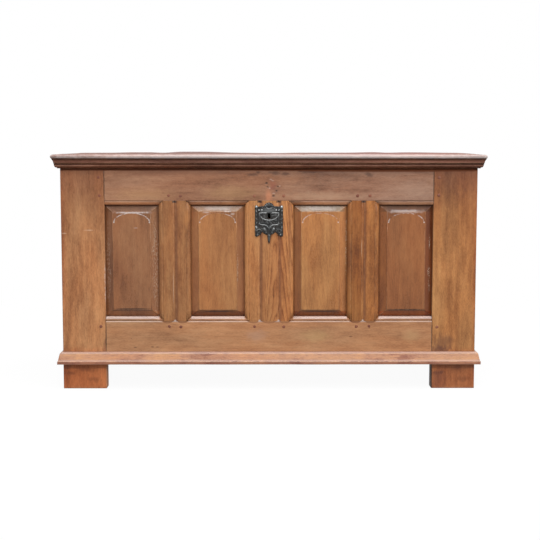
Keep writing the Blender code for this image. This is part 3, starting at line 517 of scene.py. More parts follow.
@dataclass(frozen=True)
class Iron:
    """Old wrought iron: dark scale, rubbed bright where it stands proud, with rust in the hollows."""

    slot: str = "iron"
    scale: Colour = srgb(25, 27, 27)
    bright: Colour = srgb(160, 162, 162)
    rust: Colour = srgb(52, 45, 40)
    hollow: Colour = srgb(22, 20, 19)

    def material(self, name: str, proud: tuple[float, float] | None = None,
                 dulled: Sequence[Mark] = ()) -> bpy.types.Material:
        """The finish of one iron piece.

        Args:
            name: The piece.
            proud: The depths, as y, where the rubbed relief starts and ends, if it faces the front.
            dulled: Places where the rubbed metal has gone dark again.

        Returns:
            Its material.
        """
        surface = Surface(name)
        graph = surface.graph
        shift = own_shift(name)
        point = graph.place()
        fine = graph.noise(point, (420, 420, 420), shift, 3.0)
        broad = graph.between(graph.noise(point, (55, 55, 55), shift, 3.0), 0.34, 0.68)
        hammer = graph.noise(point, (130, 130, 130), shift, 1.0)
        rubbed = graph.attribute("arris") * (0.35 + broad * 0.5)
        if proud:
            chased = graph.between(graph.noise(point, (190, 190, 190), shift, 2.0), 0.46, 0.66)
            relief = graph.between(graph.split(point)[1], *proud) * (0.72 + broad * 0.28)
            rubbed = rubbed.most(relief).most(chased * 0.20)
        for mark in dulled:
            rubbed = rubbed * (1 - mark.mask(graph, point, broad, fine) * mark.strength)
        corner = graph.corner(0.006, 0.15, 0.65)
        colour = graph.mix(broad * 0.5 * (1 - rubbed), self.scale, self.rust)
        colour = graph.mix(rubbed * (1 - corner * 0.7), colour, self.bright)
        colour = graph.mix(corner * 0.6, colour, self.hollow)
        gloss = 0.52 + (fine - 0.5) * 0.3 + corner * 0.15 - rubbed * 0.20
        surface.set(
            Base_Color=colour, Metallic=0.55 + rubbed * 0.40, Roughness=gloss,
            Normal=graph.bump(fine * 0.00012 + hammer * 0.0005))
        return surface.material


class Workpiece:
    """A mesh in the making on the bench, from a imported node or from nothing."""

    def __init__(self, name: str, mesh: bpy.types.Mesh | None = None) -> None:
        """Starts a piece.

        Args:
            name: The piece's name.
            mesh: A mesh to start from, if there is one.
        """
        self.name = name
        self.shape = bmesh.new()
        if mesh:
            self.shape.from_mesh(mesh)
        self.arris = self.shape.faces.layers.float.new("arris")

    @classmethod
    def from_node(cls, node: str) -> "Workpiece":
        """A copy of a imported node, merged, with its flat faces whole again.

        Args:
            node: The node.

        Returns:
            The piece.
        """
        made = cls(node + "_worked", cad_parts[node].data)
        bmesh.ops.remove_doubles(made.shape, verts=made.shape.verts, dist=MERGE)
        bmesh.ops.dissolve_limit(
            made.shape, angle_limit=FLAT, verts=made.shape.verts, edges=made.shape.edges)
        return made

    def bevel(self, edges: Iterable[bmesh.types.BMEdge], width: float, segments: int = 2,
              clamp: bool = True) -> list[bmesh.types.BMFace]:
        """Rounds some edges.

        Args:
            edges: The edges.
            width: How far the rounding reaches.
            segments: Its faces from side to side.
            clamp: Whether it stops where it would meet another.

        Returns:
            The new faces.
        """
        return bmesh.ops.bevel(
            self.shape, geom=list(edges), offset=width, offset_type="OFFSET", segments=segments, profile=0.5,
            affect="EDGES", clamp_overlap=clamp, material=-1)["faces"]

    def ease(self, width: float, least: float = 24.0, shortest: float = 0.030) -> "Workpiece":
        """Rounds the outer edges as wear does.

        Args:
            width: How far the rounding reaches.
            least: The smallest angle of an edge, in degrees, that is rounded.
            shortest: The shortest edge that is rounded.

        Returns:
            The piece.
        """
        edges = [
            edge for edge in self.shape.edges
            if len(edge.link_faces) == 2 and edge.is_convex and edge.calc_length() > shortest
            and edge.calc_face_angle() > math.radians(least)
        ]
        for face in self.bevel(edges, width, clamp=False):
            face[self.arris] = 1.0
        return self

    def slice(self, axis: int, step: float) -> "Workpiece":
        """Cuts across the piece at even steps, so that it can bend.

        Args:
            axis: The axis to walk along.
            step: The distance between cuts.

        Returns:
            The piece.
        """
        places = [vert.co[axis] for vert in self.shape.verts]
        low, high = min(places), max(places)
        count = max(1, round((high - low) / step))
        normal = Vector((0, 0, 0))
        normal[axis] = 1.0
        for i in range(1, count):
            whole = self.shape.verts[:] + self.shape.edges[:] + self.shape.faces[:]
            bmesh.ops.bisect_plane(
                self.shape, geom=whole, dist=MERGE, plane_co=normal * (low + (high - low) * i / count),
                plane_no=normal)
        return self

    def wander(self, amount: float, cell: float, seed: int) -> "Workpiece":
        """Lets the piece out of true by slow, smooth drifts.

        Args:
            amount: The largest drift.
            cell: The length over which it changes.
            seed: Sets this piece apart.

        Returns:
            The piece.
        """
        offset = Vector([seed * step for step in SEED_STEPS])
        for vert in self.shape.verts:
            vert.co += noise.noise_vector(vert.co / cell + offset) * amount
            vert.co.z = max(vert.co.z, 0.0)
        return self

    def object(self) -> bpy.types.Object:
        """Turns the shape into an object in the scene.

        Returns:
            The object.
        """
        mesh = bpy.data.meshes.new(self.name)
        self.shape.to_mesh(mesh)
        self.shape.free()
        return shown(self.name, mesh)

    def place(self, material: bpy.types.Material, body: Body, slot: str,
              nodes: Sequence[str] = (), sharp: float = 50.0, flat: float = 0.0005) -> None:
        """Finishes the piece and lets it ride.

        Args:
            material: Its material.
            body: The body that carries it.
            slot: The record's material slot. It is not used.
            nodes: The nodes that it stands for.
            sharp: Edges past this angle, in degrees, stay crisp.
            flat: Faces of this area or more are the flats, and aren't shaded round.
        """
        made = self.object()
        made.data.materials.clear()
        made.data.materials.append(material)
        made.data.shade_smooth()
        made.data.set_sharp_from_angle(angle=math.radians(sharp))
        for face in made.data.polygons:
            face.use_smooth = face.area < flat
        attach(made, body.value)
        if nodes:
            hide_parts(*nodes)
        LOG.info("%s: %d faces on the %s", made.name, len(made.data.polygons), body.value)


@dataclass(frozen=True)
class Work:
    """How boards of one kind are worked: eased edges, cuts that let them bend, and a slow drift."""

    edge: float
    step: float
    drift: float
    cell: float
    seed: int = 0

    def cut(self, board: Board, before: Callable[[Workpiece], None] | None = None) -> Workpiece:
        """Eases a board's node and cuts it across its grain.

        Args:
            board: The board.
            before: Shapes it before the cuts, if need be.

        Returns:
            The piece.
        """
        piece = Workpiece.from_node(board.node).ease(self.edge)
        if before:
            before(piece)
        return piece.slice(board.grain.value[0], self.step)

    def bend(self, piece: Workpiece, number: int) -> Workpiece:
        """Lets the board of that number drift."""
        return piece.wander(self.drift, self.cell, self.seed + number)


SHOW_OAK = Oak("oak", srgb(126, 78, 48), srgb(172, 118, 79), srgb(196, 142, 99), 0.42, 0.10, 0.75, 0.20)
PANEL_OAK = Oak(
    "panel_oak", srgb(130, 82, 50), srgb(168, 115, 76), srgb(190, 137, 94), 0.32, 0.15, 0.75, 0.30)
MUNTIN_OAK = replace(SHOW_OAK, corner_dirt_and_shade=0.15)
LID_OAK = Oak(
    "lid_oak", srgb(84, 47, 36), srgb(108, 68, 53), srgb(132, 86, 68), 0.36, 0.0, 0.75, 0.40, 0.12,
    cloud=(2.4, 16, 16))
LID_DULL_OAK = replace(
    LID_OAK, dark=srgb(74, 40, 32), middle=srgb(98, 58, 46), pale=srgb(122, 76, 60), roughness=0.46,
    specular=0.16)
MOULDING_OAK = Oak(
    "lid_oak", srgb(72, 39, 27), srgb(105, 65, 48), srgb(136, 89, 68), 0.44, 0.0, 0.90, 0.35, 0.10)
PLINTH_OAK = Oak(
    "plinth_oak", srgb(150, 96, 78), srgb(200, 146, 114), srgb(218, 160, 116), 0.40, 0.12, 0.50, 0.60,
    cloud=(14, 22, 22))
DRY_OAK = Oak("inner_oak", srgb(118, 84, 56), srgb(158, 120, 86), srgb(188, 152, 116), 0.68, 0.0, 0.55, 0.20)
PEG_OAK = Oak("oak", srgb(96, 54, 40), srgb(124, 74, 58), srgb(146, 96, 74), 0.50, 0.05, 0.5, 0.2)
# A near-white, for pale worn places and for painted highlights and reflections.
PALE_WEAR_AND_HIGHLIGHT = srgb(226, 216, 212)
IRON = Iron()


@dataclass(frozen=True)
class PanelWearAndLight:
    """How one front panel has aged, and the light and shade painted on it.

    Its tone, the tints that paint light and shade on its left, right, lower and upper bevels, the height of
    the painted shadow line at the field's foot, how much of the arch's crown shows its pale line (wear with a
    painted highlight) and how strong that line is, the painted highlight line at the top (its drop below the
    opening, half its height and its strength), and clusters of specks (the side, the inset, the height, half
    the width, half the height and the strength of each).
    """

    tone: Colour
    sides: tuple[Colour, Colour]
    low: Colour
    top: Colour
    foot: float
    arch: tuple[float, float]
    line: tuple[float, float, float]
    specks: tuple[tuple[int, float, float, float, float, float], ...]
    dark: float = 0.8

    def dull(self) -> float:
        """How much gloss the upper bevel has lost, if it is dark."""
        return 0.35 if max(self.top) < self.dark else 0.0


PANELS = (
    PanelWearAndLight(
        (0.74, 0.71, 0.72), ((0.82, 0.84, 0.87), (1.20, 1.24, 1.24)), (1.30, 1.20, 1.08), (0.69, 0.73, 0.79),
        0.2575, (0.9, 1.0), (0.0235, 0.0026, 0.60),
        ((-1, 0.010, 0.40, 0.009, 0.16, 0.20), (1, 0.012, 0.40, 0.012, 0.17, 0.30))),
    PanelWearAndLight(
        (0.96, 0.90, 0.74), ((0.98, 0.92, 0.92), (0.94, 0.91, 0.96)), (0.61, 0.43, 0.26), (0.78, 0.93, 1.12),
        0.2490, (0.15, 0.75), (0.0100, 0.0075, 0.16), ((1, 0.022, 0.38, 0.002, 0.07, 0.4),)),
    PanelWearAndLight(
        (1.11, 1.10, 0.88), ((0.75, 0.64, 0.58), (1.22, 1.16, 1.12)), (0.67, 0.42, 0.19), (0.58, 0.90, 1.55),
        0.2490, (0.6, 0.6), (0.0100, 0.0075, 0.18), ((1, 0.003, 0.46, 0.0025, 0.10, 0.6),)),
    PanelWearAndLight(
        (0.71, 0.62, 0.52), ((1.05, 1.0, 0.80), (0.75, 0.57, 0.44)), (1.18, 0.83, 0.50), (0.54, 0.60, 0.76),
        0.2545, (0.9, 0.7), (0.0195, 0.0060, 0.28),
        ((1, 0.010, 0.472, 0.003, 0.026, 0.7), (1, 0.011, 0.377, 0.006, 0.018, 0.8),
         (1, 0.010, 0.335, 0.005, 0.030, 0.3))))
ROUND = {"front": Grain.CROSS, "left": Grain.CROSS_SIDE, "right": Grain.CROSS_SIDE}
SCRATCHED = {"left": (0.0,), "centre": (-0.030, 0.030), "right": (0.0,)}
AMBER, HONEY, UMBER = srgb(158, 108, 72), srgb(172, 118, 77), srgb(146, 94, 59)
TONGUES = (
    (-0.324, 0.020, AMBER), (-0.277, 0.020, AMBER), (-0.050, 0.019, HONEY), (0.0, 0.028, HONEY),
    (0.050, 0.019, HONEY), (0.277, 0.020, UMBER), (0.324, 0.020, AMBER))
WAIST = 0.41  # half-way up the panels
STILE_EDGE = 0.522  # from the middle to the stiles' inner edges
# Dirt in the joints between the stiles and the ends of their rails.
JOINT_LINES = [
    spot(hand * STILE_EDGE, z, 0.0026, 0.078, srgb(48, 28, 20), 0.75, 0.7, 0.4)
    for hand in HANDS for z in (0.660, 0.172)]
# Painted shadow of the lid's moulding across the top of the front, wider to the right.
LID_SHADE = [
    spot(x, 0.7070, reach, tall, srgb(106, 58, 34), 0.95, 0.30, 0.10, polish=-0.10, dull=0.40)
    for x, reach, tall in ((0, FAR, 0.0100), (0.38, 0.55, 0.0145))]
# The bottom rail's moulded upper edge: a painted sky reflection on the slope, a dark line in the quirk,
# and a painted highlight on the arris below.
LEDGE = [
    spot(0, 0.2300, FAR, 0.0058, srgb(174, 161, 160), 0.6, 0.5, 0.2, polish=0.28),
    spot(0, 0.2216, FAR, 0.0022, srgb(84, 50, 36), 0.75, 0.6, 0.2),
    spot(0, 0.2168, FAR, 0.0020, PALE_WEAR_AND_HIGHLIGHT, 0.40, 0.7, 0.3)]
# The pale patches of the bottom rail's finish, and small dark spots low on it.
PATCHES = [
    *(spot(x, 0.171, wide, 0.026, colour, 0.5, 0.9, 0.5) for x, wide, colour in (
        (0.15, 0.060, srgb(190, 152, 104)), (0.455, 0.035, srgb(194, 152, 108)),
        (-0.04, 0.045, srgb(184, 144, 120)))),
    *(spot(x, z, 0.007, 0.0026, srgb(70, 40, 28), 0.6, 0.8, 0.7) for x, z in (
        (-0.428, 0.1335), (-0.374, 0.1350), (-0.358, 0.1345), (0.262, 0.168)))]
# Two pale scratches across the left stile, and specks on its inner edge.
SCRATCHES = [
    *(spot(x, z, reach, 0.0026, srgb(226, 190, 160), 0.50, 0.8, 0.8)
      for x, z, reach in ((-0.650, 0.500, 0.010), (-0.573, 0.510, 0.018))),
    spot(-0.5225, 0.34, 0.0026, 0.07, PALE_WEAR_AND_HIGHLIGHT, 0.6, 0.6, 0.5, broken=0.53),
    spot(-0.526, 0.135, 0.008, 0.045, srgb(104, 62, 46), 0.5, 0.9, 0.8)]
# Dark stains low on the right stile.
DAMP = [
    spot(0.558, 0.148, 0.042, 0.034, srgb(100, 62, 46), 0.6, 0.8, 0.7),
    spot(0.542, 0.126, 0.044, 0.018, srgb(88, 52, 44), 0.7, 0.8, 0.7),
    spot(0.546, 0.030, 0.030, 0.045, srgb(92, 54, 48), 0.45, 0.8, 0.8)]
# The top rail's uneven tone, painted light on its moulded lower edge, which faces down into shade,
# and the filled patch, chips, old nail holes and smudges above the lock.
RAIL_MARKS = [
    stain(0.42, 0.66, 0.42, FAR, (0.90, 1.03, 1.23), 0.9, 0.3),
    # Painted light on the moulded lower edge, which faces down and lies in shade.
    stain(0, 0.591, FAR, 0.0085, (1.8, 1.6, 1.3), 0.5, 0.0),
    spot(-0.40, 0.622, 0.13, 0.026, srgb(182, 138, 96), 0.45, 0.9, 0.5),
    spot(-0.12, 0.628, 0.10, 0.030, srgb(184, 142, 98), 0.40, 0.9, 0.5),
    spot(-0.30, 0.700, 0.30, 0.030, srgb(146, 98, 74), 0.45, 0.9, 0.5),
    spot(0.17, 0.618, 0.16, 0.018, srgb(190, 154, 124), 0.40, 0.9, 0.5),
    spot(0.46, 0.640, 0.10, 0.040, srgb(192, 156, 132), 0.35, 0.9, 0.5),
    spot(0.25, 0.712, 0.70, 0.030, srgb(140, 110, 94), 0.6, 0.9, 0.4),
    spot(0.0, 0.620, 0.014, 0.027, srgb(200, 130, 94), 0.65, 0.9, 0.6),
    spot(0.012, 0.650, 0.014, 0.022, srgb(150, 84, 66), 0.6, 0.8, 0.8),
    spot(0.018, 0.640, 0.022, 0.018, srgb(112, 72, 60), 0.45, 0.9, 0.9),
    *(spot(x, z, wide, 0.003, srgb(208, 182, 168), 0.4, 0.8, 0.7) for x, z, wide in (
        (0.006, 0.671, 0.006), (0.012, 0.667, 0.006), (0.014, 0.627, 0.007), (0.002, 0.643, 0.004),
        (0.034, 0.650, 0.004))),
    *(spot(x, z, size, size * 0.8, srgb(40, 24, 18), 0.75, 0.8, 0.9, MM) for x, z, size in (
        (-0.008, 0.659, 0.0050), (-0.004, 0.647, 0.0044), (0.028, 0.648, 0.0048), (0.023, 0.635, 0.0042),
        (0.013, 0.619, 0.0052))),
    *(spot(*place, srgb(70, 45, 36), 0.6, 0.8, 0.9) for place in (
        (-0.055, 0.686, 0.020, 0.007), (-0.034, 0.693, 0.012, 0.005), (0.020, 0.692, 0.022, 0.006),
        (0.052, 0.689, 0.016, 0.006), (0.130, 0.696, 0.060, 0.006), (0.316, 0.687, 0.016, 0.009)))]
# The uneven tones of the front muntins, and the rubbed edges of two grooves.
MUNTIN_MARKS = {
    "left": [
        spot(-0.3052, 0.327, 0.0018, 0.060, srgb(222, 186, 160), 0.35, 0.7, 0.5),
        spot(-0.262, 0.545, 0.012, 0.045, srgb(206, 140, 84), 0.5, 0.9, 0.5)],
    "centre": [
        stain(0, WAIST, 0.028, FAR, (0.92, 0.89, 0.88), 0.1, 0.0),
        stain(0.055, WAIST, 0.024, FAR, (1.10, 1.05, 1.0), 0.1, 0.0)],
    "right": [
        stain(0.249, WAIST, 0.050, FAR, (0.68, 0.62, 0.56), 0.1, 0.0),
        spot(0.2948, 0.455, 0.0018, 0.034, srgb(222, 186, 150), 0.35, 0.7, 0.5)]}
# Rubbed places on the panels.
RUBBED = [spot(*place, PALE_WEAR_AND_HIGHLIGHT, 0.38, 0.9, 0.7) for place in (
    (-0.4235, 0.517, 0.008, 0.0016), (-0.1985, 0.5655, 0.013, 0.0030), (-0.1310, 0.569, 0.015, 0.0030),
    (-0.1160, 0.561, 0.009, 0.0050))]


@dataclass
class Joinery:
    """The four joined sides: stiles, rails, muntins, panels and the pegs that lock their tenons."""

    work: Work = Work(0.0009, 0.06, 0.0004, 0.35)
    arch_half_width: float = 0.0565
    arch_rise: float = 0.029
    arch_spring: float = 0.535
    recess_depth: float = 0.0090
    opening: tuple[float, float] = (0.233, 0.589)
    stile_middle: float = 0.591
    moulding: float = 0.015
    panel_half: float = 0.0855
    field_half: float = 0.061
    groove: float = 0.008
    waxed: float = 0.45
    shade: float = 0.0052

    def front(self) -> list[tuple[Oak, Board]]:
        """The boards of the front.

        Returns:
            Each board with its finish.
        """
        up, cross = Grain.UPRIGHT, Grain.CROSS
        # Dirt in the joints, and the painted shadow under the lid's moulding.
        edges = JOINT_LINES + LID_SHADE
        rows = (
            ("stile_left", up, (1.18, 1.22, 1.19), (0.35, 0.10), 0.010,
             self.foot(-1) + self.aged(-1) + SCRATCHES + edges, 0.16, 0.9),
            ("stile_right", up, (1.13, 1.15, 0.93), (-0.30, 0.12), 0.016,
             self.foot(1) + self.aged(1) + DAMP + edges, 0.20, 0.85),
            ("top_rail", cross, (0.76, 0.80, 1.0), (0.20, 0.08), 0.006,
             JOINT_LINES + RAIL_MARKS + LID_SHADE, 0.12, 0.9),
            ("bottom_rail", cross, (1.10, 1.24, 1.38), (-0.16, 0.09), 0.008,
             JOINT_LINES + LEDGE + self.lobes() + PATCHES, 0.12, 0.6))
        found = [(SHOW_OAK, Board("front_" + name, *rest)) for name, *rest in rows]
        for label, tone, heart, taper, figure in (
                ("left", (0.77, 0.73, 0.62), (0.12, 0.07), 0.02, 0.16),
                ("centre", (0.96, 0.91, 0.74), (0.03, 0.045), 0.035, 0.45),
                ("right", (1.0, 0.89, 0.59), (-0.10, 0.08), 0.02, 0.16)):
            marks = self.grooves(label) + MUNTIN_MARKS[label]
            board = Board("front_muntin_" + label, up, tone, heart, taper, marks, figure, 1.1)
            found.append((MUNTIN_OAK, board))
        for i, wear in enumerate(PANELS):
            node = f"front_panel_{i + 1}"
            marks = self.panel_marks(node, wear) + RUBBED
            board = Board(node, up, wear.tone, (0.09 - 0.05 * i, 0.05), 0.03, marks, 0.10, 0.75)
            found.append((PANEL_OAK, board))
        return found

    def rest(self) -> list[tuple[Oak, Board]]:
        """The boards of the ends and the back.

        Returns:
            Each board with its finish.
        """
        up, cross, up_side, cross_side = Grain.UPRIGHT, Grain.CROSS, Grain.UPRIGHT_SIDE, Grain.CROSS_SIDE
        found = []
        for side, way in (("left", -1), ("right", 1)):
            name = side + "_side_"
            found += [
                (SHOW_OAK, Board(name + "top_rail", cross_side, (1.0, 1.04, 1.06))),
                (SHOW_OAK, Board(name + "bottom_rail", cross_side, (0.98, 1.02, 1.04), (-0.2, 0.08))),
                (SHOW_OAK, Board(name + "muntin_centre", up_side, (0.92, 0.88, 0.80), (0.05, 0.06))),
                (SHOW_OAK, Board(f"back_stile_{side}", up, (0.96, 0.98, 1.0), (0.30, -0.10))),
                (DRY_OAK, Board(f"back_muntin_{side}", up, (0.97, 0.97, 0.97), (0.10, -0.06)))]
            for place, heart in (("front", 0.04), ("back", -0.08)):
                node = name + "panel_" + place
                found.append((PANEL_OAK, Board(
                    node, up_side, (0.90, 0.87, 0.80), (heart, 0.06), 0.03, [self.recess(node, 0, way)])))
        found += [
            (DRY_OAK, Board("back_muntin_centre", up, heart=(-0.12, -0.07))),
            (DRY_OAK, Board("back_top_rail", cross, (0.96, 0.97, 0.98), (0.15, -0.08))),
            (DRY_OAK, Board("back_bottom_rail", cross, (0.92, 0.93, 0.95), (-0.15, -0.08)))]
        for i, heart in enumerate((0.03, -0.06, 0.10, -0.02)):
            tone = (0.92 + 0.04 * i,) * 3
            found.append((DRY_OAK, Board(f"back_panel_{i + 1}", up, tone, (heart, -0.05), 0.04)))
        return found

    def recess(self, node: str, axis: int, way: int) -> Mark:
        """The darker patina of a panel's bevels, which hands and cloths don't rub.

        Args:
            node: The panel.
            axis: The axis that it faces along.
            way: The way that it faces.

        Returns:
            A stain that lies behind the raised field.
        """
        low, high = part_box(node)
        field = low[axis] if way < 0 else high[axis]
        centre, radius = [0.0] * 3, [FAR] * 3
        centre[axis] = field - way * self.recess_depth
        radius[axis] = self.recess_depth / 1.1
        return Mark(tuple(centre), tuple(radius), (0.80, 0.78, 0.78), 1.0, 0.17, 0.0, blend=Blend.STAIN)

    def panel_marks(self, node: str, wear: PanelWearAndLight) -> list[Mark]:
        """The bevels with their patina and painted light and shade, the arch, the painted shadow under the
        field, the painted highlight at the top, and the worn edges of a front panel.

        Args:
            node: The panel.
            wear: How it has aged, and the light and shade painted on it.

        Returns:
            The marks.
        """
        middle = middle_of(node)
        bottom, top = self.opening
        drop, tall, strength = wear.line
        marks = [self.recess(node, 1, -1)]
        # Painted light and shade on the side bevels, and a pale spot at each spring of the arch.
        for hand, tint in zip(HANDS, wear.sides):
            bevel = middle + hand * (self.panel_half + self.field_half) / 2
            spring = middle + hand * self.arch_half_width
            marks.append(stain(bevel, WAIST, 0.0125, 0.4, tint, 0.2, 0.0))
            marks.append(spot(spring, self.arch_spring, 0.0026, 0.0026, PALE_WEAR_AND_HIGHLIGHT, 0.6, 0.6, 0.5))
        for hand, inset, level, wide, high, share in wear.specks:
            place = middle + hand * (self.panel_half - inset)
            marks.append(spot(place, level, wide, high, srgb(214, 196, 172), share, 0.6, 0.5, broken=0.55))
        return marks + [
            # Painted light and shade on the lower bevel, a painted shadow line under the field, painted light
            # and shade on the upper bevel, and a painted highlight line at its top.
            stain(middle, bottom + 0.007, 0.2, 0.012, wear.low, 0.3, 0.0),
            spot(middle, wear.foot, 0.060, 0.0030, srgb(62, 36, 25), 0.8, 0.6, 0.25, square=True),
            stain(middle, top - 0.010, 0.085, 0.0115, wear.top, 0.3, 0.1, square=True, dull=wear.dull()),
            spot(middle, top - drop, 0.058, tall, PALE_WEAR_AND_HIGHLIGHT, strength, 0.6, 0.6, polish=0.2, square=True),
            ArchLine(
                (middle, 0, self.arch_spring), (self.arch_half_width, FAR, self.arch_rise), PALE_WEAR_AND_HIGHLIGHT,
                wear.arch[1], line=0.048, crown=wear.arch[0])]

    def grooves(self, label: str) -> list[Mark]:
        """Painted shade in the grooves scratched down a muntin, painted shade in the notches at their top
        ends, and pale spots at their feet.

        Args:
            label: Which of the front muntins.

        Returns:
            The marks.
        """
        bottom, top = self.opening
        marks = []
        for offset in SCRATCHED[label]:
            x = middle_of("front_muntin_" + label) + offset
            marks += [
                # Painted shade along the groove, painted shade in the notch at its top, and a pale spot at
                # its foot.
                spot(x + self.shade, WAIST, 0.0074, 0.6, srgb(108, 62, 38), 0.74, 0.9, 0.4),
                spot(x, top + 0.0115, 0.0085, 0.0040, srgb(44, 20, 14), 0.95, 0.5, 0.2, square=True),
                spot(x, bottom - 0.0130, 0.0046, 0.0034, PALE_WEAR_AND_HIGHLIGHT, 0.6, 0.7, 0.4)]
        return marks

    def soften(self, piece: Workpiece) -> None:
        """Fills a front muntin's grooves with old wax, so that they are shallow.

        Args:
            piece: The muntin.
        """
        label = piece.name.split("_")[2]
        node = "front_muntin_" + label
        middle, face = middle_of(node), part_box(node)[0].y
        for vert in piece.shape.verts:
            beside = min(abs(vert.co.x - middle - offset) for offset in SCRATCHED[label])
            if beside < self.groove / 2 and vert.co.y < face + self.groove:
                vert.co.y = face + (vert.co.y - face) * self.waxed

    def lobes(self) -> list[Mark]:
        """The muntins' rounded lower ends, which lap over the bottom rail's moulding.

        Returns:
            The marks.
        """
        bottom, lap = self.opening[0], self.moulding
        marks = []
        for label in SCRATCHED:
            low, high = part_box("front_muntin_" + label)
            marks += [
                spot(x, bottom, lap + 0.001, lap + 0.003, srgb(146, 96, 62), 0.95, 0.12, 0.06, polish=-0.3,
                     dull=0.2)
                for x in (low.x + lap, high.x - lap)]
        for x, wide, colour in TONGUES:
            marks += [
                spot(x, bottom - lap + 0.006, wide + grow, 0.0115 + grow, tone, strength, 0.15, 0.05)
                for grow, tone, strength in ((0.0014, srgb(92, 54, 36), 0.8), (0.0, colour, 0.9))]
        return marks

    @staticmethod
    def aged(hand: int) -> list[Mark]:
        """The darker upper part of a stile, and its redder, handled outer edge.

        Args:
            hand: -1 for the left stile and 1 for the right.

        Returns:
            The marks.
        """
        upper = (0.75, 0.70, 0.69) if hand > 0 else (0.70, 0.66, 0.65)
        crown = (0.62, 0.56, 0.74) if hand > 0 else (0.82, 0.76, 0.82)
        return [
            stain(0, 0.78, FAR, 0.38, upper, 0.6, 0.15), stain(0, 0.74, FAR, 0.16, crown, 0.75, 0.25),
            stain(hand * 0.664, 0.42, 0.020, 0.36, (0.92, 0.74, 0.70), 0.9, 0.35, strength=0.9)]

    def foot(self, hand: int) -> list[Mark]:
        """The redder, rubbed foot of a stile, with painted shade on the right foot's inner side and painted
        light on the left one's.

        Args:
            hand: -1 for the left stile and 1 for the right.

        Returns:
            The marks.
        """
        x = hand * self.stile_middle
        # Painted shade on the right foot's inner side and painted light on the left one's.
        inner = srgb(34, 20, 16) if hand > 0 else srgb(206, 136, 92)
        tint = (1.0 - 0.03 * hand, 0.69 + 0.03 * hand, 0.62 + 0.11 * hand)
        return [
            stain(x, -0.02, 0.4, 0.155, tint, 0.35, 0.12),
            spot(x - 0.048, 0.050, 0.020, 0.007, srgb(84, 42, 28), 0.5, 0.8, 0.9),
            spot(x + 0.030, 0.030, 0.030, 0.010, srgb(96, 50, 32), 0.4, 0.9, 0.9),
            spot(x + 0.010, 0.062, 0.040, 0.010, srgb(90, 46, 30), 0.35, 0.9, 0.9),
            spot(x, -0.004, 0.09, 0.012, srgb(190, 134, 92), 0.5, 0.8, 0.7),
            spot(hand * STILE_EDGE, 0.02, 0.0030, 0.090, inner, 0.95, 0.5, 0.1, dull=0.5)]

    def build(self) -> None:
        """Works and places every board, then drives the pegs."""
        for number, (finish, board) in enumerate(self.front() + self.rest()):
            before = self.soften if board.node.startswith("front_muntin") else None
            finish.dress(self.work.bend(self.work.cut(board, before), number), board, Body.CHEST)
        Pegs().build()


@dataclass
class Pegs:
    """Riven oak pegs, driven through the tenons and cut off a little proud."""

    radius: float = 0.0050
    taper: float = 1.04
    sides: int = 9
    buried: float = 0.010
    proud: float = 0.0007
    uneven: tuple[float, float] = (0.5, 1.5)
    rim: float = 0.0007
    stray: float = 1.5
    lean: float = 0.05
    squash: tuple[float, float] = (0.9, 1.08)
    tenon: float = 0.028
    stile_inset: float = 0.016
    rail_levels: tuple[float, ...] = (0.676, 0.620, 0.200)
    low_level: float = 0.118
    muntin_levels: tuple[float, ...] = (0.619, 0.201)
    muntin_inset: float = 0.0315

    def build(self) -> None:
        """Drives the pegs of each side."""
        for side, outward in (("front", (0, -1, 0)), ("back", (0, 1, 0)),
                              ("left_side", (-1, 0, 0)), ("right_side", (1, 0, 0))):
            self.side(side, Vector(outward))

    def side(self, side: str, outward: Vector) -> None:
        """Drives the pegs of one side into one piece.

        Args:
            side: The side's name.
            outward: The way that it faces.
        """
        run = 0 if outward.y else 1
        facing = 1 - run
        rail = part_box(side + "_top_rail")
        face = rail[0][facing] if outward[facing] < 0 else rail[1][facing]
        spots = []
        levels = self.rail_levels + ((self.low_level,) if side == "back" else ())
        for end, way in ((rail[0][run] + self.tenon, -1), (rail[1][run] - self.tenon, 1)):
            spots += [(end + way * self.stile_inset, z) for z in levels]
        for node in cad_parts:
            if node.startswith(side + "_muntin"):
                low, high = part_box(node)
                for along in (low[run] + self.muntin_inset, high[run] - self.muntin_inset):
                    spots += [(along, z) for z in self.muntin_levels]
        name = side + "_pegs"
        dice = random.Random(name)
        piece = Workpiece(name)
        for along, z in spots:
            centre = Vector((0, 0, z + dice.uniform(-self.stray, self.stray) * MM))
            centre[run] = along + dice.uniform(-self.stray, self.stray) * MM
            centre[facing] = face
            self.drive(piece, centre, outward, dice)
        board = Board(side + "_top_rail", Grain.UPRIGHT if outward.y else Grain.UPRIGHT_SIDE)
        piece.place(PEG_OAK.material(board), Body.CHEST, PEG_OAK.slot)

    def drive(self, piece: Workpiece, centre: Vector, outward: Vector, dice: random.Random) -> None:
        """One peg, a little out of round, with its rim rubbed.

        Args:
            piece: The piece that takes the peg.
            centre: Where its axis meets the face.
            outward: The way that it points.
            dice: Sets each peg apart.
        """
        proud = self.proud * dice.uniform(*self.uneven)
        depth = self.buried + proud
        lean = Vector([dice.uniform(-self.lean, self.lean) for _ in range(3)])
        spin = Matrix.Rotation(dice.uniform(0, math.tau), 4, "Z")
        squash = Matrix.Diagonal((dice.uniform(*self.squash), dice.uniform(*self.squash), 1, 1))
        set_in = Matrix.Translation(centre + outward * (proud - depth / 2))
        made = bmesh.ops.create_cone(
            piece.shape, cap_ends=True, segments=self.sides, radius1=self.radius * self.taper,
            radius2=self.radius, depth=depth, matrix=set_in @ turned(outward + lean) @ spin @ squash)
        faces = [face for vert in made["verts"] for face in vert.link_faces]
        top = max(faces, key=lambda face: face.calc_center_median().dot(outward))
        piece.bevel(top.edges, self.rim)


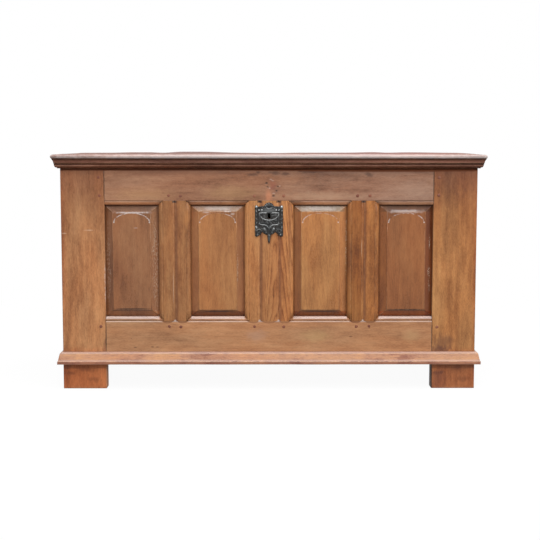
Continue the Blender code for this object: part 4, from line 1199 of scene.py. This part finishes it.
@dataclass
class Nails:
    """Hand-forged nails with faceted rose heads."""

    name: str
    body: Body
    radius: float = 0.0055
    height: float = 0.0026
    sides: int = 6
    spread: tuple[float, float] = (0.88, 1.1)
    tip: float = 0.34
    lift: float = 0.4
    dent: float = 0.08
    rim: float = 0.07

    def build(self, spots: Sequence[tuple[Vector, Vector]]) -> None:
        """Drives nails into one piece.

        Args:
            spots: The point on the face and the way out of it, for each nail.
        """
        piece = Workpiece(self.name)
        dice = random.Random(self.name)
        for point, outward in spots:
            spin = Matrix.Rotation(dice.uniform(0, math.tau), 4, "Z")
            radius = self.radius * dice.uniform(*self.spread)
            set_on = Matrix.Translation(point + outward * self.height * self.lift)
            made = bmesh.ops.create_cone(
                piece.shape, cap_ends=True, segments=self.sides, radius1=radius, radius2=radius * self.tip,
                depth=self.height, matrix=set_on @ turned(outward) @ spin)
            for vert in made["verts"]:
                vert.co += Vector([dice.uniform(-1, 1) for _ in range(3)]) * radius * self.dent
            edges = dict.fromkeys(edge for vert in made["verts"] for edge in vert.link_edges)
            for face in piece.bevel(edges, radius * self.rim, 1):
                face[piece.arris] = 1.0
        piece.place(IRON.material(self.name), self.body, IRON.slot)


@dataclass
class Lid:
    """The lid: three boards with a moulded nosing, an applied moulding, and two battens underneath.

    A kind of chip has a scale, a plane of the noise, the least value that counts and a share of the depth.
    """

    boards: Work = Work(0.0008, 0.012, 0.0008, 0.4, 40)
    mouldings: Work = Work(0.0005, 0.05, 0.0003, 0.2, 50)
    battens: Work = Work(0.0015, 0.06, 0.0005, 0.2, 60)
    chip_depth: float = 0.0022
    chip_drop: float = 0.5
    chips: tuple[tuple[float, ...], ...] = ((24, 3.7, 0.22, 2.2), (90, 9.1, 0.0, 0.18))
    nail_shares: Spot = (0.3, 0.7)
    nosing: float = 0.0125
    warp: tuple[float, float] = (0.08, 0.26)
    ripples: tuple[Spot, ...] = (
        (-0.6865, 0.0), (-0.57, 0.4), (-0.49, 2.0), (-0.43, 2.0), (-0.38, 0.4), (-0.31, 4.0), (-0.25, 4.0),
        (-0.09, 0.4), (0.03, -0.8), (0.11, 0.8), (0.28, 0.8), (0.38, 2.4), (0.43, 0.6), (0.50, 1.8),
        (0.6865, 0.0))

    def build(self) -> None:
        """Works and places the lid's pieces."""
        tones = {"front": (1.0, 1.0, 1.0), "middle": (0.94, 0.95, 0.97), "back": (1.04, 1.0, 0.98)}
        for i, (label, tone) in enumerate(tones.items()):
            board = Board(
                "lid_board_" + label, Grain.FLAT, tone, (0.03 * (i - 1), -0.09), 0.01, self.marks())
            finish = LID_OAK if label == "front" else LID_DULL_OAK
            piece = self.boards.cut(board)
            self.chip(piece)
            self.swell(piece)
            finish.dress(self.boards.bend(piece, i), board, Body.LID)
        for i, (label, grain) in enumerate(ROUND.items()):
            board = Board("lid_moulding_" + label, grain, marks=self.moulding_marks())
            MOULDING_OAK.dress(self.mouldings.bend(self.mouldings.cut(board), i), board, Body.LID)
        spots = []
        for i, label in enumerate(("left", "right")):
            board = Board("lid_batten_" + label, Grain.FLAT_ACROSS, heart=(0.06, -0.05))
            DRY_OAK.dress(self.battens.bend(self.battens.cut(board), i), board, Body.LID)
            spots += self.batten_nails(board.node)
        Nails("lid_batten_nails", Body.LID).build(spots)

    @staticmethod
    def marks() -> list[Mark]:
        """Soiled seams between the boards, painted highlights along the nosing and at the lid's ends, a dark
        line under the nosing, clouds on top, and the dry underside.

        Returns:
            The marks.
        """
        low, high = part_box("lid_board_front")
        under, top = low.z, high.z
        edge, rim, tall = top - 0.0035, 0.012, 0.0080
        seams = (high.y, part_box("lid_board_middle")[1].y)
        clouds = (
            ((-0.23, 0.20, top), (0.26, 0.26, 0.01), (0.72, 0.66, 0.68)),
            ((0.40, 0.10, top), (0.34, 0.40, 0.01), (1.18, 0.98, 1.02)))
        return [Mark((0, y, 0), (FAR, 0.0022, FAR), srgb(34, 20, 15), 0.8, 0.7, 0.4) for y in seams] + [
            # Painted highlights along the nosing and on its lower half, and at the lid's two ends.
            Mark((0.1, low.y, edge), (1.20, rim, tall), PALE_WEAR_AND_HIGHLIGHT, 0.40, 0.7, 0.35, polish=0.10),
            Mark((0.1, low.y, top - 0.0095), (1.20, rim, 0.0042), PALE_WEAR_AND_HIGHLIGHT, 0.52, 0.6, 0.25),
            spot(low.x, edge, rim, tall, PALE_WEAR_AND_HIGHLIGHT, 0.15, 0.6, 0.35, polish=0.2),
            spot(high.x, edge, rim, tall, PALE_WEAR_AND_HIGHLIGHT, 0.12, 0.6, 0.35, polish=0.1),
            stain(0, under + 0.0036, FAR, 0.0052, (1.60, 1.90, 2.15), 0.7, 0.15),
            spot(0, top - 0.0148, FAR, 0.0022, srgb(52, 26, 18), 0.80, 0.7, 0.3),
            *(Mark(*cloud, 1.0, 0.8, 0.4, blend=Blend.STAIN) for cloud in clouds),
            stain(0, under, FAR, 0.001, (1.10, 1.45, 1.55), 0.4, 0.1)]

    @staticmethod
    def moulding_marks() -> list[Mark]:
        """The applied moulding's painted highlight on its round, painted light on its shaded foot, and its
        dirty upper line.

        Returns:
            The marks.
        """
        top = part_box("lid_moulding_front")[1].z
        return [
            # A painted highlight on the round, then painted light on the shaded foot.
            stain(0, top - 0.0078, FAR, 0.0036, (1.75, 2.20, 2.60), 0.8, 0.2),
            stain(0, top - 0.0140, FAR, 0.0030, (1.60, 1.40, 1.25), 0.6, 0.2),
            spot(0, top - 0.0040, FAR, 0.0019, srgb(46, 24, 17), 0.75, 0.7, 0.3)]

    def rise(self, x: float) -> float:
        """How far the lid's back edge stands up.

        Args:
            x: The place along it.

        Returns:
            The height.
        """
        for (start, low), (end, high) in zip(self.ripples, self.ripples[1:]):
            if start <= x <= end:
                share = (x - start) / (end - start)
                return (low + (high - low) * share * share * (3 - 2 * share)) * MM
        return 0.0

    def swell(self, piece: Workpiece) -> None:
        """Lets the lid's upper face rise and fall towards its back edge, as old boards do.

        Args:
            piece: A lid board with cuts across it.
        """
        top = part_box("lid_board_front")[1].z
        start, full = self.warp
        for vert in piece.shape.verts:
            if vert.co.z > top - self.nosing:
                back = min(1.0, max(0.0, (vert.co.y - start) / (full - start)))
                vert.co.z += self.rise(vert.co.x) * back

    def chip(self, piece: Workpiece) -> None:
        """Knocks small chips out of the nosing.

        Args:
            piece: A lid board with cuts across it.
        """
        low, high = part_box("lid_board_front")
        for vert in piece.shape.verts:
            inward = Vector((0, 0, 0))
            if vert.co.y - low.y < self.nosing:
                inward.y = 1.0
            if vert.co.x - low.x < self.nosing:
                inward.x = 1.0
            if high.x - vert.co.x < self.nosing:
                inward.x = -1.0
            if inward.length == 0 or high.z - vert.co.z > self.nosing:
                continue
            depth = 0.0
            for scale, plane, least, share in self.chips:
                knock = noise.noise(Vector((vert.co.x * scale, vert.co.y * scale, plane)))
                depth += max(0.0, knock - least) * share
            inward.z -= self.chip_drop
            vert.co += inward * (self.chip_depth * min(depth, 1.0))

    def batten_nails(self, node: str) -> list[tuple[Vector, Vector]]:
        """Where the nails that hold a batten show, on its underside.

        Args:
            node: The batten.

        Returns:
            The place of each nail and the way that it points.
        """
        low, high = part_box(node)
        spots = []
        for label in ("front", "middle", "back"):
            near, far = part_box("lid_board_" + label)
            for share in self.nail_shares:
                place = Vector((low.x + (high.x - low.x) * share, near.y + (far.y - near.y) * share, low.z))
                spots.append((place, DOWN))
        return spots


@dataclass
class Base:
    """The plinth moulding round the foot of the carcass, and the floor boards inside."""

    plinth: Work = Work(0.0007, 0.03, 0.0006, 0.12, 70)
    floor: Work = Work(0.0012, 0.06, 0.0005, 0.3, 80)
    fillet: float = 0.0095

    def marks(self) -> list[Mark]:
        """The plinth's paler, greyer upper edge, a painted highlight at the foot of its slope with a dark
        line under it, and painted shade on its fillet.

        Returns:
            The marks.
        """
        low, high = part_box("plinth_moulding_front")
        lip = low.z + self.fillet
        return [
            spot(0, high.z, FAR, 0.0075, srgb(156, 129, 120), 0.7, 0.5, 0.3),
            # A painted highlight where the slope meets the fillet, and a dark line under it.
            spot(0, lip + 0.0030, FAR, 0.0036, srgb(200, 168, 154), 0.5, 0.5, 0.4),
            spot(0, lip - 0.0002, FAR, 0.0012, srgb(90, 52, 40), 0.7, 0.5, 0.3),
            # Painted shade on the fillet.
            stain(0, low.z, FAR, self.fillet - 0.0005, (0.79, 0.70, 0.74), 0.15, 0.1)]

    def build(self) -> None:
        """Works and places the plinth and the floor."""
        for i, (label, grain) in enumerate(ROUND.items()):
            board = Board(
                "plinth_moulding_" + label, grain, (0.93, 0.95, 0.97), (0.05, 0.05), 0.02, self.marks())
            PLINTH_OAK.dress(self.plinth.bend(self.plinth.cut(board), i), board, Body.CHEST)
        for i in range(1, 6):
            tone = (0.86 + 0.03 * (i * 3 % 5),) * 3
            board = Board(f"floor_board_{i}", Grain.FLAT_ACROSS, tone, (0.02 * (i - 3), -0.06), 0.03)
            DRY_OAK.dress(self.floor.bend(self.floor.cut(board), i), board, Body.CHEST)


@dataclass
class Ironwork:
    """The strap hinges and the parts of the lock behind the front, with their nails."""

    edge: tuple[float, float, float] = (0.0005, 40.0, 0.002)
    sharp: float = 40.0
    nail: float = 0.0045
    strap_drop: float = 0.008
    strap_reaches: tuple[float, ...] = (0.019, 0.090, 0.165, 0.235)
    leaf_face: float = 0.003
    leaf_spots: tuple[Spot, ...] = ((0, 0.018), (-0.010, 0.062), (0.010, 0.062))
    case_nail: float = 0.0042
    case_flange: float = 0.0023
    case_inset: Spot = (0.007, 0.030)

    def worked(self, node: str, body: Body) -> None:
        """A forged copy of a node, on the body that carries it."""
        piece = Workpiece.from_node(node).ease(*self.edge)
        piece.place(IRON.material(node), body, IRON.slot, [node], self.sharp)

    def build(self) -> None:
        """Works and places the ironwork, with its nails."""
        straps, leaves = [], []
        for label in ("left", "right"):
            self.worked("hinge_strap_" + label, Body.LID)
            self.worked("hinge_back_leaf_" + label, Body.CHEST)
            self.worked("hinge_pin_" + label, Body.CHEST)
            low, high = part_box("hinge_strap_" + label)
            x = middle_of("hinge_strap_" + label)
            straps += [
                (Vector((x, low.y + reach, high.z - self.strap_drop)), DOWN) for reach in self.strap_reaches]
            low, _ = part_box("hinge_back_leaf_" + label)
            leaves += [
                (Vector((x + dx, low.y + self.leaf_face, low.z + dz)), REARWARD)
                for dx, dz in self.leaf_spots]
        Nails("hinge_strap_nails", Body.LID, self.nail).build(straps)
        Nails("hinge_leaf_nails", Body.CHEST, self.nail).build(leaves)
        self.worked("lock_case", Body.CHEST)
        self.worked("lock_bolt", Body.BOLT)
        self.worked("lock_hasp", Body.LID)
        low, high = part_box("lock_case")
        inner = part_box("front_top_rail")[1].y + self.case_flange
        dx, dz = self.case_inset
        Nails("lock_case_nails", Body.CHEST, self.case_nail).build([
            (Vector((x, inner, z)), REARWARD)
            for x in (low.x + dx, high.x - dx) for z in (low.z + dz, high.z - dz)])


@dataclass
class Escutcheon:
    """The iron plate round the keyhole: a cut outline with a raised cartouche, leaves, fruit and scrolls.

    Sizes are millimetres across and up from the middle of the keyhole. Routes are lines of points with a
    radius. Knobs and leaves are a place, half a width, a height and half a length, and a lean in degrees.
    Scrolls are an eye, a radius, a start in degrees, turns and the radius of their rib.
    """

    crest: float = 38.0
    bead: float = 1.7
    voxel: float = 0.0006
    smooth: int = 3
    rubbed: tuple[float, float] = (0.0003, 0.0021)
    rib_sides: int = 10
    lobe_detail: int = 3
    bowl: tuple[float, float, float] = (31.0, 22.0, 3.5)
    bowl_steps: int = 30
    bow: tuple[Spot, ...] = ((-10, 21.5), (-5, 18.6), (0, 17.4), (5, 18.6), (10, 21.5))
    routes: tuple[tuple[tuple[Spot, ...], float], ...] = (
        (((8.2, 4.0), (19, 4.4), (31, 4.2)), 1.7),
        (((31, 2), (30.2, -10), (28.6, -20), (29.6, -30), (23, -33), (13, -33.8), (6.5, -37), (2.4, -42),
          (0, -48.5)), 1.7),
        (((40, 20), (38.6, 9), (41, -4), (38.8, -16), (41, -30), (38, -42), (40, -54)), 1.1))
    middles: tuple[tuple[float, ...], ...] = (
        (0, 31, 4.2, 3.2, 7.0), (0, 11.5, 30.0, 1.1, 8.5), (0, -67, 4.0, 3.0, 4.6), (0, -79, 2.6, 2.4, 9.0))
    knobs: tuple[tuple[float, ...], ...] = (
        *((40.4, up, 2.6, 2.0, 5.2, lean)
          for up, lean in ((10, 20), (-3, -25), (-15, 30), (-28, -20), (-41, 25))),
        (23, 13.6, 3.3, 2.97, 3.3), (31.4, 13.2, 3.0, 2.7, 3.0), (40.2, 23.6, 4.6, 3.4, 4.6),
        (6.2, 29.6, 3.0, 2.6, 6.0, 28), (10.6, 27.0, 2.6, 2.2, 5.0, 58))
    leaves: tuple[tuple[float, ...], ...] = (
        (13.0, -49, 4.2, 2.0, 8.0, 35), (9.5, -58, 3.2, 1.8, 5.0, -20), (36.5, -65, 3.6, 2.4, 4.0))
    scrolls: tuple[tuple[float, ...], ...] = (
        (32.5, -54, 8.5, 0, -1.15, 1.3), (17.5, 20.5, 5.2, 150, 1.0, 1.1))

    def __post_init__(self) -> None:
        """Finds the plate's place in the frame."""
        low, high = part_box("escutcheon")
        self.face = low.y
        self.back = high.y
        self.middle = high.z - self.crest * MM

    def point(self, across: float, up: float) -> Vector:
        """A point on the plate's face."""
        return Vector((across * MM, self.face, self.middle + up * MM))

    def rib(self, shape: bmesh.types.BMesh, route: Sequence[Spot], radius: float) -> None:
        """A half-round rib along a route.

        Args:
            shape: The mesh that takes the rib.
            route: Points across and up.
            radius: The rib's radius.
        """
        loops = []
        points = [self.point(*place) for place in route]
        for i, here in enumerate(points):
            way = points[min(i + 1, len(points) - 1)] - points[max(i - 1, 0)]
            made = bmesh.ops.create_circle(
                shape, cap_ends=i in (0, len(points) - 1), segments=self.rib_sides, radius=radius * MM,
                matrix=Matrix.Translation(here) @ turned(way))
            loops.append(list(dict.fromkeys(edge for vert in made["verts"] for edge in vert.link_edges)))
        for first, second in zip(loops, loops[1:]):
            bmesh.ops.bridge_loops(shape, edges=first + second)

    def boss(self, shape: bmesh.types.BMesh, hand: int, across: float, up: float, wide: float, out: float,
             long: float, lean: float = 0.0) -> None:
        """A raised lobe.

        Args:
            shape: The mesh that takes the lobe.
            hand: The side of the keyhole.
            across: Its middle's place across.
            up: Its middle's place upward.
            wide: Half its width.
            out: Its height out of the plate.
            long: Half its length.
            lean: Its lean in degrees.
        """
        turn = Matrix.Rotation(math.radians(hand * lean), 4, "Y")
        stretch = Matrix.Diagonal((wide * MM, out * MM, long * MM, 1))
        place = Matrix.Translation(self.point(hand * across, up))
        bmesh.ops.create_icosphere(
            shape, subdivisions=self.lobe_detail, radius=1.0, matrix=place @ turn @ stretch)

    @staticmethod
    def curve(points: Sequence[Spot], hand: int = 1, steps: int = 6) -> list[Spot]:
        """A smooth line through points.

        Args:
            points: The points, across and up.
            hand: The side of the keyhole.
            steps: Steps between neighbours.

        Returns:
            More points along the same line.
        """
        route = [Vector(points[0]), *map(Vector, points), Vector(points[-1])]
        found = []
        for a, b, c, d in zip(route, route[1:], route[2:], route[3:]):
            for i in range(steps):
                t = i / steps
                found.append(0.5 * ((2 * b) + (c - a) * t + (2 * a - 5 * b + 4 * c - d) * t * t
                                    + (3 * b - a - 3 * c + d) * t ** 3))
        return [(hand * x, z) for x, z in (*found, points[-1])]

    @staticmethod
    def scroll(centre: Spot, radius: float, start: float, turns: float) -> list[Spot]:
        """A spiral that winds in.

        Args:
            centre: Its eye, across and up.
            radius: Its outer radius.
            start: Where it starts, in degrees.
            turns: How often it goes round.

        Returns:
            Points along it.
        """
        count = max(8, round(abs(turns) * 20))
        found = []
        for i in range(count + 1):
            angle = math.radians(start) + turns * math.tau * i / count
            reach = radius * (1 - 0.72 * i / count)
            found.append((centre[0] + reach * math.cos(angle), centre[1] + reach * math.sin(angle)))
        return found

    def relief(self, shape: bmesh.types.BMesh) -> None:
        """Adds the ornament, the same on both sides of the keyhole.

        Args:
            shape: The plate's mesh.
        """
        wide, deep, up = self.bowl
        angles = [math.radians(180 + 180 * i / self.bowl_steps) for i in range(self.bowl_steps + 1)]
        self.rib(shape, [(wide * math.cos(a), up + deep * math.sin(a)) for a in angles], self.bead)
        self.rib(shape, self.curve(self.bow), self.bead)
        for boss in self.middles:
            self.boss(shape, 1, *boss)
        for hand in HANDS:
            for points, radius in self.routes:
                self.rib(shape, self.curve(points, hand), radius)
            for boss in self.knobs:
                self.boss(shape, hand, *boss)
            first = 200 if hand > 0 else -20
            for across, up, reach, start, turns, radius in self.scrolls:
                route = self.scroll((hand * across, up), reach, first + start, hand * turns)
                self.rib(shape, route, radius)
            for boss in self.leaves:
                self.boss(shape, hand, *boss)

    def dulled(self) -> list[Mark]:
        """The crest, foot, borders and upright lines of the plate, which hands and keys don't rub.

        Returns:
            The marks.
        """
        dark, middle = IRON.scale, self.middle
        return [
            spot(0, middle + 0.031, 0.015, 0.009, dark, 0.85, 0.4, 0.2),
            spot(0, middle - 0.065, 0.060, 0.022, dark, 0.75, 0.3, 0.2),
            *(spot(hand * x, middle + up, wide, high, dark, 0.8, 0.4, 0.2, square=True) for hand in HANDS
              for x, up, wide, high in ((0.0405, -0.013, 0.006, 0.032), (0.030, -0.014, 0.005, 0.014)))]

    def build(self) -> None:
        """Raises the ornament out of the plate as one skin and places it."""
        rough = Workpiece.from_node("escutcheon")
        self.relief(rough.shape)
        rough.name = "escutcheon_rough"
        block = rough.object()
        remesh = block.modifiers.new("Union", "REMESH")
        remesh.mode = "VOXEL"
        remesh.voxel_size = self.voxel
        graph = bpy.context.evaluated_depsgraph_get()
        skin = bpy.data.meshes.new_from_object(block.evaluated_get(graph))
        left = block.data
        bpy.data.objects.remove(block)
        bpy.data.meshes.remove(left)
        piece = Workpiece("escutcheon_chased", skin)
        bpy.data.meshes.remove(skin)
        for _ in range(self.smooth):
            bmesh.ops.smooth_vert(
                piece.shape, verts=piece.shape.verts, factor=0.5, use_axis_x=True, use_axis_y=True,
                use_axis_z=True)
        for vert in piece.shape.verts:
            vert.co.y = min(vert.co.y, self.back)
        proud = tuple(self.face - depth for depth in self.rubbed)
        material = IRON.material("escutcheon", proud, self.dulled())
        piece.place(material, Body.CHEST, IRON.slot, ["escutcheon"], sharp=180.0)


@dataclass
class Studio:
    """A pale floor, soft light from above and the right, and the camera at the photograph's angle.

    A lamp is a name, a place, a width and height, and watts.
    """

    lens: float = 81.05
    sensor: float = 36.0
    stand: tuple[float, float, float] = (-0.013, -4.126, 0.7906)
    pitch: float = 6.04
    yaw: float = 0.24
    floor_size: float = 30.0
    floor_bounce: Colour = (0.07, 0.07, 0.07)
    floor_tone: Colour = (0.8, 0.8, 0.8)
    sky_tone: Colour = (0.50, 0.51, 0.52)
    white: Colour = (1.0, 1.0, 1.0)
    shadow: float = 0.05
    shadow_reach: tuple[float, float] = (0.9, 2.2)
    aim: tuple[float, float, float] = (0, 0, 0.35)
    lamps: tuple[tuple[str, tuple[float, float, float], tuple[float, float], float], ...] = (
        ("overhead", (0.2, -0.6, 3.4), (4.0, 3.2), 175), ("window", (0.0, -3.07, 2.67), (0.9, 0.5), 45),
        ("key", (3.2, -2.4, 1.9), (1.4, 1.4), 36), ("back", (0.0, 3.6, 0.42), (2.6, 0.45), 30))

    def floor(self) -> None:
        """A wide floor that is white to the eye and keeps a soft shadow."""
        piece = Workpiece("floor")
        bmesh.ops.create_grid(piece.shape, x_segments=2, y_segments=2, size=self.floor_size)
        made = piece.object()
        surface = Surface("floor")
        graph = surface.graph
        seen = self.seen(graph)
        away = graph.vector("LENGTH", graph.place(), output="Value")
        surface.set(
            Base_Color=graph.mix(seen, self.floor_bounce, self.floor_tone), Roughness=0.9,
            Specular_IOR_Level=0.1)
        white = graph.node("ShaderNodeEmission", {}, {"Color": self.white, "Strength": 1.0})
        lit = Wire(graph, surface.shader.outputs["BSDF"])
        share = seen * (1 - self.shadow + graph.between(away, *self.shadow_reach) * self.shadow)
        both = graph.node("ShaderNodeMixShader", {}, {0: share, 1: lit, 2: white})
        end = next(n for n in graph.tree.nodes if n.type == "OUTPUT_MATERIAL")
        graph.feed(end.inputs["Surface"], both)
        made.data.materials.append(surface.material)

    @staticmethod
    def seen(graph: Graph) -> Wire:
        """The rays that show the background: straight, mirrored and through glass.

        Args:
            graph: The graph of the floor or of the sky.

        Returns:
            1 for those rays and 0 for others.
        """
        rays = [graph.node("ShaderNodeLightPath", {}, {}, name) for name in
                ("Is Camera Ray", "Is Glossy Ray", "Is Transmission Ray")]
        return rays[0].most(rays[1]).most(rays[2])

    def sky(self) -> None:
        """A soft pale surround, white where it is seen."""
        world = bpy.data.worlds.new("studio")
        world.use_nodes = True
        bpy.context.scene.world = world
        graph = Graph(world.node_tree)
        colour = graph.mix(self.seen(graph), self.sky_tone, self.white)
        graph.feed(world.node_tree.nodes["Background"].inputs["Color"], colour)

    def lamp(self, name: str, place: Sequence[float], size: tuple[float, float], power: float) -> None:
        """A soft rectangular lamp turned to the chest.

        Args:
            name: The lamp.
            place: Where it hangs.
            size: Its width and height.
            power: Its watts.
        """
        light = bpy.data.lights.new(name, "AREA")
        light.shape = "RECTANGLE"
        light.size, light.size_y = size
        light.energy = power
        made = shown(name, light)
        made.location = place
        made.rotation_euler = (Vector(self.aim) - Vector(place)).to_track_quat("-Z", "Y").to_euler()

    def camera(self) -> None:
        """The camera, where the photograph was taken from."""
        data = bpy.data.cameras.new("camera")
        data.sensor_width = self.sensor
        data.lens = self.lens
        made = shown("camera", data)
        made.location = self.stand
        yaw, pitch = math.radians(self.yaw), math.radians(self.pitch)
        ahead = Vector((math.sin(yaw) * math.cos(pitch), math.cos(yaw) * math.cos(pitch), -math.sin(pitch)))
        made.rotation_euler = ahead.to_track_quat("-Z", "Y").to_euler()
        bpy.context.scene.camera = made

    def build(self) -> None:
        """Sets up the studio."""
        bpy.context.scene.view_settings.view_transform = "Standard"
        self.floor()
        self.sky()
        for lamp in self.lamps:
            self.lamp(*lamp)
        self.camera()


def main() -> None:
    """Builds and dresses the chest, then sets up the studio."""
    logging.basicConfig(level=logging.INFO, format="%(message)s")
    noise.seed_set(NOISE_SEED)
    for part in (Joinery(), Base(), Lid(), Ironwork(), Escutcheon(), Studio()):
        LOG.info("Building: %s", type(part).__name__)
        part.build()


if __name__ == "__main__":
    main()
